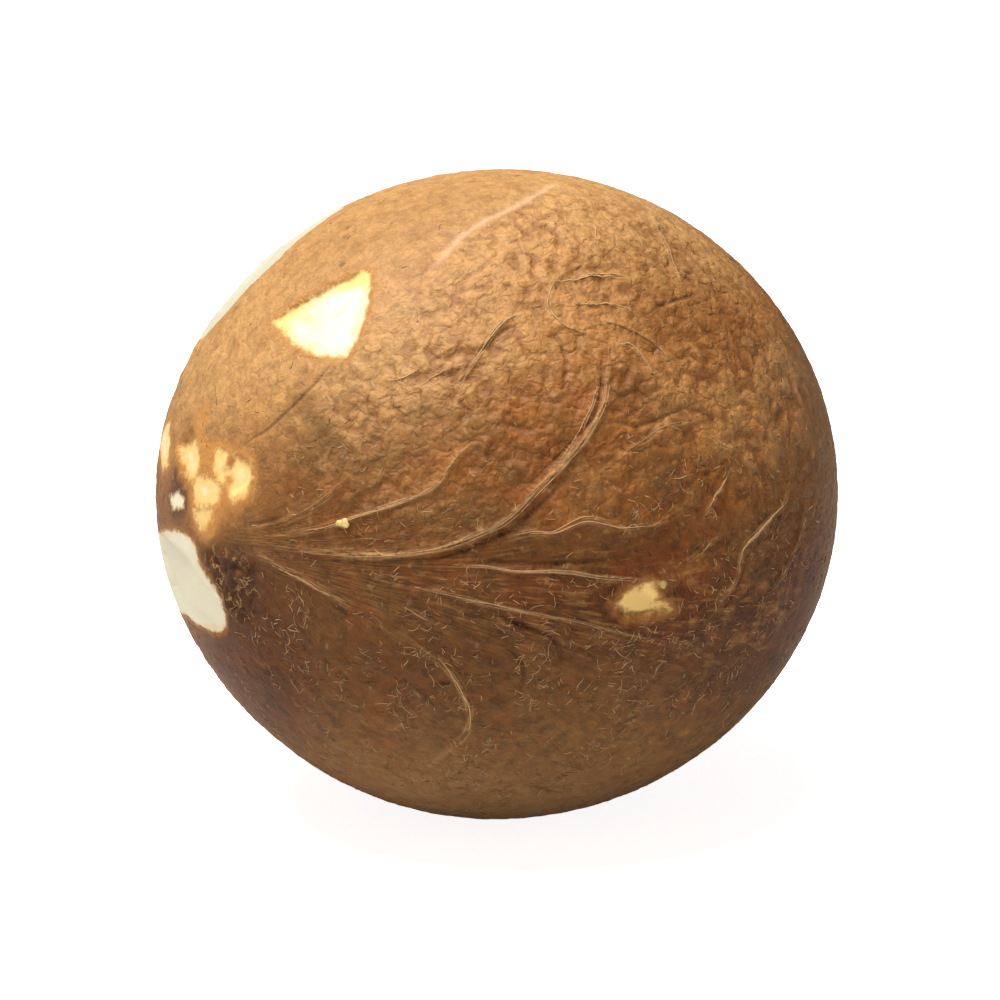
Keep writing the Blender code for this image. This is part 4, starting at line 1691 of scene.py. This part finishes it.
@dataclass(frozen=True)
class Studio:
    """A pale floor, soft light and the camera."""

    azimuth: float = -33.0
    elevation: float = 13.0
    distance: float = 450.0
    focal: float = 2905.0
    frame_width: float = 1000.0
    sensor: float = 36.0
    middle_pixel: Place = (500.5, 494.0)
    clip_range: Place = (0.01, 50.0)
    floor_half: float = 3000.0
    light_from: tuple[float, float, float] = (-0.2, 0.9, 0.36)
    light_distance: float = 900.0
    light_size: float = 620.0
    light_power: float = 13.6
    ambient: float = 0.12
    floor_glow: float = 0.9
    low_glow: float = 0.1

    def axes(self) -> tuple[Array, Array, Array]:
        """The camera's right, up and backward directions.

        Returns:
            The three unit vectors.
        """
        a, e = math.radians(self.azimuth), math.radians(self.elevation)
        back = np.array([math.sin(a) * math.cos(e), -math.cos(a) * math.cos(e), math.sin(e)])
        right = np.array([math.cos(a), math.sin(a), 0.0])
        return right, np.cross(back, right), back

    def build(self, middle: Array) -> None:
        """Everything round the object, whose middle is given in millimetres.

        Args:
            middle: the kernel's middle.
        """
        self._camera(middle)
        self._floor()
        self._light(middle)
        self._world()
        bpy.context.scene.view_settings.view_transform = "Standard"

    def _camera(self, middle: Array) -> None:
        """The camera, so aimed that the kernel's middle falls on its pixel.

        Args:
            middle: the kernel's middle, in millimetres.
        """
        right, up, back = self.axes()
        offset = np.array(self.middle_pixel) - self.frame_width / 2
        scale = self.distance / self.focal
        place = middle + back * self.distance - right * offset[0] * scale + up * offset[1] * scale
        data = bpy.data.cameras.new("camera")
        data.sensor_width = self.sensor
        data.lens = self.sensor * self.focal / self.frame_width
        data.clip_start, data.clip_end = self.clip_range
        camera = add_object("camera", data)
        turn = Matrix([list(row) for row in np.column_stack([right, up, back])])
        camera.matrix_world = Matrix.Translation(Vector(place * MM)) @ turn.to_4x4()
        bpy.context.scene.camera = camera

    def _floor(self) -> None:
        """A wide flat sheet, which the camera sees nearly white, with the shadow faint on it."""
        corners = np.array([(-1, -1, 0.0), (1, -1, 0.0), (1, 1, 0.0), (-1, 1, 0.0)]) * self.floor_half
        floor = make_mesh("floor", corners, [np.array([[0, 1, 2, 3]])], smooth=False)
        material, graph, shader = new_material("pale_floor")
        material.node_tree.nodes.remove(shader)
        seen, bounce = (
            graph.value("AddShader", {
                0: graph.value("BsdfDiffuse", {"Color": matt}),
                1: graph.value("Emission", {"Color": glow, "Strength": strength}),
            })
            for matt, glow, strength in (
                ((0.95, 0.95, 0.95), (1.0, 1.0, 1.0), self.floor_glow),
                ((0.8, 0.78, 0.75), (1.0, 0.98, 0.96), self.low_glow),
            )
        )
        choice = graph.value("MixShader", {0: graph.value("LightPath", {}, "Is Camera Ray"), 1: bounce, 2: seen})
        graph.feed(material.node_tree.nodes["Material Output"].inputs["Surface"], choice)
        floor.data.materials.append(material)

    def _light(self, middle: Array) -> None:
        """One large soft light, above and a little left of the camera.

        Args:
            middle: the kernel's middle, in millimetres.
        """
        toward = unit(np.column_stack(self.axes()) @ np.array(self.light_from))
        data = bpy.data.lights.new("softbox", "AREA")
        data.shape = "DISK"
        data.size = self.light_size * MM
        data.energy = self.light_power
        light = add_object("softbox", data)
        light.location = (middle + toward * self.light_distance) * MM
        light.rotation_mode = "QUATERNION"
        light.rotation_quaternion = Vector(toward).to_track_quat("Z", "Y")

    def _world(self) -> None:
        """White behind the object, dim all round it."""
        world = bpy.data.worlds.new("studio")
        world.use_nodes = True
        graph = Graph(world.node_tree)
        background = world.node_tree.nodes["Background"]
        graph.feed(background.inputs["Color"], (1.0, 1.0, 1.0))
        seen = graph.value("LightPath", {}, "Is Camera Ray")
        graph.feed(background.inputs["Strength"], seen.step(0.0, 1.0, (self.ambient, 1.0)))
        bpy.context.scene.world = world


def finish_piece(piece: Object, material: Material) -> None:
    """Gives a piece its material and its body, and reports it.

    Args:
        piece: the piece.
        material: its finish.
    """
    piece.data.materials.append(material)
    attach(piece, "root")
    log.info("%s: %d points, %d faces", piece.name, len(piece.data.vertices), len(piece.data.polygons))


def main() -> None:
    """Builds the kernel, its fibres and the studio."""
    logging.basicConfig(level=logging.INFO, format="%(name)s: %(message)s")
    studio = Studio()
    lines = (*VEINS.values(), *BackVeins().lines(), *CREASES.values())
    kernel = Kernel(KernelForm(lines), BallGrid(tuple(studio.axes()[2])))
    effects = Effects()
    skin = kernel.build_skin()
    finish_piece(skin, SkinFinish(effects).make())
    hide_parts(NODE)
    fibre = FibreFinish().make(effects)
    finish_piece(kernel.build_strands(), fibre)
    finish_piece(kernel.build_fibres(), fibre)
    finish_piece(kernel.build_crumb(), CrumbFinish().make(effects))
    studio.build(kernel.shift)


if __name__ == "__main__":
    main()
